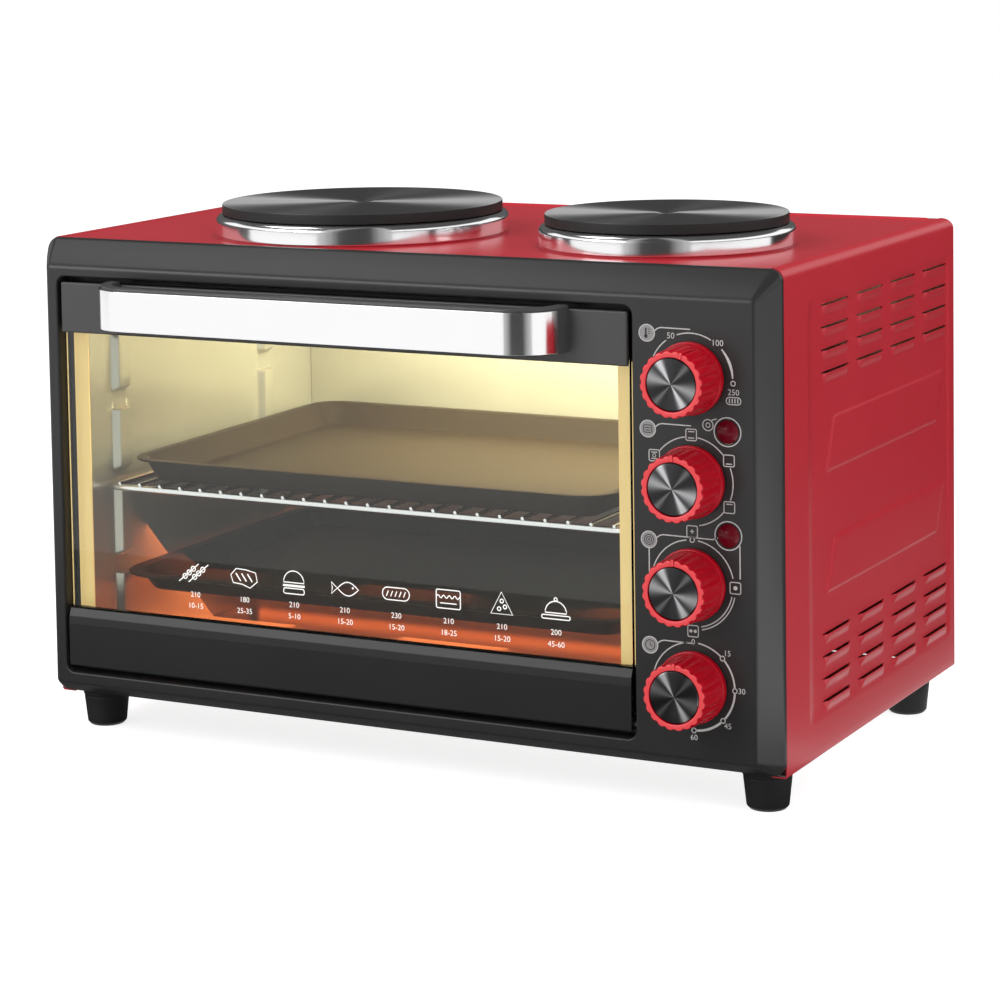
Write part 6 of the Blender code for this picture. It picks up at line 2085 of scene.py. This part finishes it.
@dataclass
class RearAndBase:
    """Back panel and base plate with their screws, and the bush of the supply cord."""

    sizes: OvenSizes
    back_y: float = 0.319
    bush: Flat = (0.200, 0.040)
    screw_inset: float = 0.010
    back_screws: tuple[tuple[float, ...], tuple[float, ...]] = (
        (-0.225, -0.075, 0.075, 0.225), (0.290, 0.012))
    side_screws: tuple[float, ...] = (0.090, 0.150, 0.210)
    base_screws: tuple[tuple[float, ...], tuple[float, ...]] = ((-0.200, 0.0, 0.200), (0.035, 0.295))
    full_turn: float = 6.28

    def screw(self) -> Mesh:
        """Round screw head with a crossed recess, its foot at the origin."""
        head = lathe("head", softened([(0, 0.0017, 0), (0.0018, 0.0015, 0.002), (0.0032, 0.0004, 0.001),
                                       (0.0033, -0.0002, 0), (0, -0.0002, 0)], 4), Vector(), steps=24)
        cutters = [block("slot", (-0.0018, -0.0004, 0.0008), (0.0018, 0.0004, 0.0030)),
                   block("slot", (-0.0004, -0.0018, 0.0008), (0.0004, 0.0018, 0.0030))]
        return combined(head, cutters, "DIFFERENCE")

    def build(self, bench: Bench) -> None:
        """Builds the rear, the base and every screw."""
        for node in ("back_panel", "base_plate"):
            bench.soften_node(node, ZINC_STEEL, "zinc_steel", 0.0002)
        bush = softened([(0.0042, -0.0048, 0), (0.0090, -0.0048, 0.0006), (0.0090, 0.0003, 0),
                         (0.0125, 0.0003, 0.0004), (0.0122, 0.0030, 0.0010), (0.0105, 0.0060, 0.0012),
                         (0.0060, 0.0060, 0.0008), (0.0042, 0.0045, 0.0010)], 4)
        place = Vector((self.bush[0], self.back_y, self.bush[1]))
        bench.place("cord_grommet", lathe("bush", bush, place, Facing.BACK, 48, True), (RUBBER,),
                    "foot_rubber", ("cord_bush",))
        edge = self.sizes.half_width - self.screw_inset
        base = -self.sizes.casing_lip + self.sizes.sheet + GAP
        backs = [(x, z) for x in self.back_screws[0] for z in self.back_screws[1]]
        backs += [(side * edge, z) for z in self.side_screws for side in (-1, 1)]
        places = [(Vector((x, self.back_y, z)), (-QUARTER, 0.0, 0.0)) for x, z in backs]
        places += [(Vector((x, y, base)), (math.pi, 0.0, 0.0))
                   for x in self.base_screws[0] for y in self.base_screws[1]]
        pattern = linked("screw_pattern", self.screw())
        mesh = bench.patterns.run("screws", point_mesh("screws", places),
                                  {"Pattern": pattern, "Spin": self.full_turn, "Seed": 11,
                                   "Finish": bench.material(SCREW_ZINC)})
        bpy.data.objects.remove(pattern)
        bench.place("casing_screws", mesh, (SCREW_ZINC,), "zinc_steel")


# Studio


@dataclass
class Studio:
    """Plain studio: camera of the photograph, soft lamps, pale floor and dark flags."""

    bench: Bench
    yaw: float = 27.324
    pitch: float = -4.9038
    roll: float = -0.8613
    camera_place: tuple[float, float, float] = (0.95089, -1.82161, 0.55153)
    lens: float = 113.128
    shift_y: float = -0.33882
    domes: tuple[tuple[str, Flat, Flat, float, float, float], ...] = (
        ("flag_side", (118, 178), (-10, 12), 0.03, 0.95, 0.17),
        ("flag_rear", (178, 236), (-1, 13), 0.06, 3.2, 0.0),
        ("flag_left", (236, 292), (-13, 15), 0.08, 3.2, 0.0),
        ("overhead", (-90, -38), (50, 70), 2.2, 3.0, 0.0),
        ("flag_over", (170, 250), (13, 36), 0.10, 3.2, 0.0),
        *(("flag_camera", (7 - reach, 33 + reach), (-13, 90), level, 1.25 + reach / 400, 0.30)
          for reach, level in ((0, 0.05), (4, 0.18), (9, 0.34), (15, 0.48))),
        ("flag_zenith", (-180, 180), (34, 90), 0.08, 3.2, 0.0),
        ("flag_over_ring", (-180, 180), (9, 15), 0.10, 2.2, 0.0),
        ("softbox", (-52, -4), (16, 33), 4.6, 3.0, 0.0))
    grounds: tuple[tuple[str, Flat, Flat, float], ...] = (
        ("flag_ground_side", (0.30, 0.02), (1.30, 1.30), 0.12),
        ("strip_ground", (0.34, -0.34), (1.30, -0.02), 2.6),
        ("flag_ground_front", (-0.75, -0.62), (0.45, -0.03), 0.10))
    room_lamps: tuple[tuple[str, Place, Place, Flat, float], ...] = (
        ("key", (-1.3, -2.0, 1.9), (0, 0, 0.15), (1.6, 1.2), 34.0),
        ("fill", (2.2, -0.6, 1.3), (0, 0, 0.15), (1.2, 1.2), 12.0),
        ("top", (0.2, 0.6, 2.2), (0, 0, 0.2), (1.6, 1.2), 19.0))
    chamber_lamps: tuple[tuple[str, Place, Place, Flat, float, Colour], ...] = (
        ("chamber_top", (0.0, 0.200, 0.264), (0.0, 0.215, 0.0), (0.30, 0.14), 1.7, (1.0, 0.90, 0.56)),
        ("chamber_back", (0.0, 0.17, 0.235), (0.0, 0.30, 0.262), (0.34, 0.03), 0.5, (1.0, 0.93, 0.66)),
        ("chamber_lamp", (0.135, 0.188, 0.225), (-0.1, 0.12, 0.10), (0.03, 0.03), 0.45, (1.0, 0.90, 0.66)),
        *(("chamber_low", (x, 0.12, 0.060), (x, 0.06, 0.0), (0.08, 0.12), 0.16, (1.0, 0.24, 0.07))
          for x in (-0.20, -0.035, 0.135)))
    background: float = 0.62
    floor_glow: float = 0.80
    card_step: float = 5.0

    def camera(self) -> None:
        """Sets the camera to the photograph's viewing angle."""
        yaw, pitch, roll = (math.radians(value) for value in (self.yaw, self.pitch, self.roll))
        ahead = Vector((-math.sin(yaw) * math.cos(pitch), math.cos(yaw) * math.cos(pitch), math.sin(pitch)))
        level = Vector((math.cos(yaw), math.sin(yaw), 0))
        upright = level.cross(ahead)
        right = level * math.cos(roll) + upright * math.sin(roll)
        up = upright * math.cos(roll) - level * math.sin(roll)
        data = bpy.data.cameras.new("camera")
        data.lens = self.lens
        data.sensor_width = 36.0
        data.shift_y = self.shift_y
        data.clip_end = 20.0
        camera = linked("camera", data)
        turn = Matrix((right, up, -ahead)).transposed().to_4x4()
        camera.matrix_world = Matrix.Translation(Vector(self.camera_place)) @ turn
        bpy.context.scene.camera = camera

    def lamp(self, name: str, place: Vector, target: Vector, size: Flat, power: float,
             colour: Colour = (1.0, 1.0, 1.0)) -> None:
        """Adds a soft rectangular lamp that reflections don't show.

        Args:
            name: Name of the lamp.
            place: Where it stands.
            target: Where it points.
            size: Width and height.
            power: Watts.
            colour: Colour of its light.
        """
        data = bpy.data.lights.new(name, "AREA")
        data.shape = "RECTANGLE"
        data.size, data.size_y = size
        data.energy = power
        data.color = colour
        lamp = linked(name, data)
        lamp.location = place
        lamp.rotation_euler = (target - place).to_track_quat("-Z", "Y").to_euler()
        lamp.visible_camera = False
        lamp.visible_transmission = False
        lamp.visible_glossy = False

    def flag(self, name: str, azimuth: Flat, elevation: Flat, level: float, radius: float,
             height: float) -> None:
        """Adds a grey card on a dome that only reflections see.

        Args:
            name: Name of the card.
            azimuth: Degrees from the front towards the right, both ends.
            elevation: Degrees above the floor, both ends.
            level: Its grey.
            radius: Radius of the dome.
            height: Height of the dome's middle.
        """
        rows = []
        for tilt in spread(*elevation, self.card_step):
            e = math.radians(tilt)
            ring = [math.radians(turn) for turn in spread(*azimuth, self.card_step)]
            rows.append([Vector((0, 0, height)) + radius * Vector(
                (math.sin(a) * math.cos(e), -math.cos(a) * math.cos(e), math.sin(e))) for a in ring])
        self.card(name, rows, level)

    def ground_flag(self, name: str, low: Flat, high: Flat, level: float) -> None:
        """Adds a grey card on the floor that only reflections see."""
        rows = [[Vector((u, v, 0.003)) for u in spread(low[0], high[0], 0.2)]
                for v in spread(low[1], high[1], 0.2)]
        self.card(name, rows, level)

    @staticmethod
    def card(name: str, rows: Sequence[Sequence[Vector]], level: float) -> None:
        """Makes a card of a grid of points."""
        mesh = sheet_grid(name, rows, 0.001, Vector((0, 0, 1)))
        material = bpy.data.materials.new(name)
        tree = Studio.bare(material, "ShaderNodeOutputMaterial")
        glow = add_node(tree, "ShaderNodeEmission", {"Color": (level, level, level, 1.0)})
        fill(tree, tree.nodes["last"], {"Surface": glow.outputs[0]})
        mesh.materials.append(material)
        card = linked(name, mesh)
        card.visible_camera = False
        card.visible_diffuse = False
        card.visible_shadow = False
        card.visible_transmission = False

    @staticmethod
    def seen_directly(tree: Tree) -> Socket:
        """Value that is 1 for camera, glossy and transmission rays."""
        path = add_node(tree, "ShaderNodeLightPath").outputs
        total = EffectLibrary.maths(tree, "ADD", path["Is Camera Ray"], path["Is Glossy Ray"])
        return EffectLibrary.maths(tree, "ADD", total, path["Is Transmission Ray"], clamp=True)

    def world(self) -> None:
        """White background, with a plain level of light on the object."""
        world = bpy.data.worlds.new("studio")
        bpy.context.scene.world = world
        tree = self.bare(world, "ShaderNodeOutputWorld")
        light, white = (add_node(tree, "ShaderNodeBackground", {"Color": (1, 1, 1, 1), "Strength": level})
                        for level in (self.background, 1.0))
        mix = add_node(tree, "ShaderNodeMixShader", {0: self.seen_directly(tree), 1: light.outputs[0],
                                                     2: white.outputs[0]})
        fill(tree, tree.nodes["last"], {"Surface": mix.outputs[0]})

    def floor(self) -> None:
        """Pale floor that keeps the oven's shadow and meets the white background."""
        outline = arc((0, 0), 7.0, 0, 356, 89)
        mesh = loft("floor", [[Vector((u, v, z)) for u, v in outline] for z in (-0.02, 0.0)])
        material = bpy.data.materials.new("studio_floor")
        tree = self.bare(material, "ShaderNodeOutputMaterial")
        plain, shown = (add_node(tree, "ShaderNodeBsdfDiffuse", {"Color": (*grey(level), 1)}).outputs[0]
                        for level in (0.8, 0.55))
        glow, mirrored = (add_node(tree, "ShaderNodeEmission", {"Strength": level}).outputs[0]
                          for level in (self.floor_glow, 1.0))
        both = add_node(tree, "ShaderNodeAddShader", {0: shown, 1: glow}).outputs[0]
        camera = add_node(tree, "ShaderNodeLightPath").outputs["Is Camera Ray"]
        last = plain
        for shader, share in ((mirrored, self.seen_directly(tree)), (both, camera)):
            last = add_node(tree, "ShaderNodeMixShader", {0: share, 1: last, 2: shader}).outputs[0]
        fill(tree, tree.nodes["last"], {"Surface": last})
        mesh.materials.append(material)
        linked("studio_floor", mesh)

    def build(self) -> None:
        """Sets the whole studio; the chamber is lit as by its lamp and rods."""
        bpy.context.scene.view_settings.view_transform = "Standard"
        self.camera()
        self.world()
        self.floor()
        for name, place, target, size, power in self.room_lamps:
            self.lamp(name, Vector(place), Vector(target), size, power)
        for dome in self.domes:
            self.flag(*dome)
        for ground in self.grounds:
            self.ground_flag(*ground)
        origin = self.bench.origin
        for name, place, target, size, power, colour in self.chamber_lamps:
            self.lamp(name, origin + Vector(place), origin + Vector(target), size, power, colour)

    @staticmethod
    def bare(block: bpy.types.ID, kind: str) -> Tree:
        """Empties the node tree of a material or world and adds its output, ready to be linked."""
        block.use_nodes = True
        block.node_tree.nodes.clear()
        add_node(block.node_tree, kind, name="last")
        return block.node_tree


def main() -> None:
    logging.basicConfig(level=logging.INFO, format="%(message)s")
    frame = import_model()
    bench = Bench(frame)
    sizes = OvenSizes()
    for maker in (FrontBezel(sizes), SidePanel(sizes, 1), SidePanel(sizes, -1), TopPanel(sizes),
                  Hotplates(sizes), Feet(sizes), Door(sizes), Controls(sizes), PanelPrints(sizes),
                  PanePrints(sizes), Cavity(sizes), RearAndBase(sizes)):
        LOG.info("building %s", type(maker).__name__)
        maker.build(bench)
    Studio(bench).build()


if __name__ == "__main__":
    main()
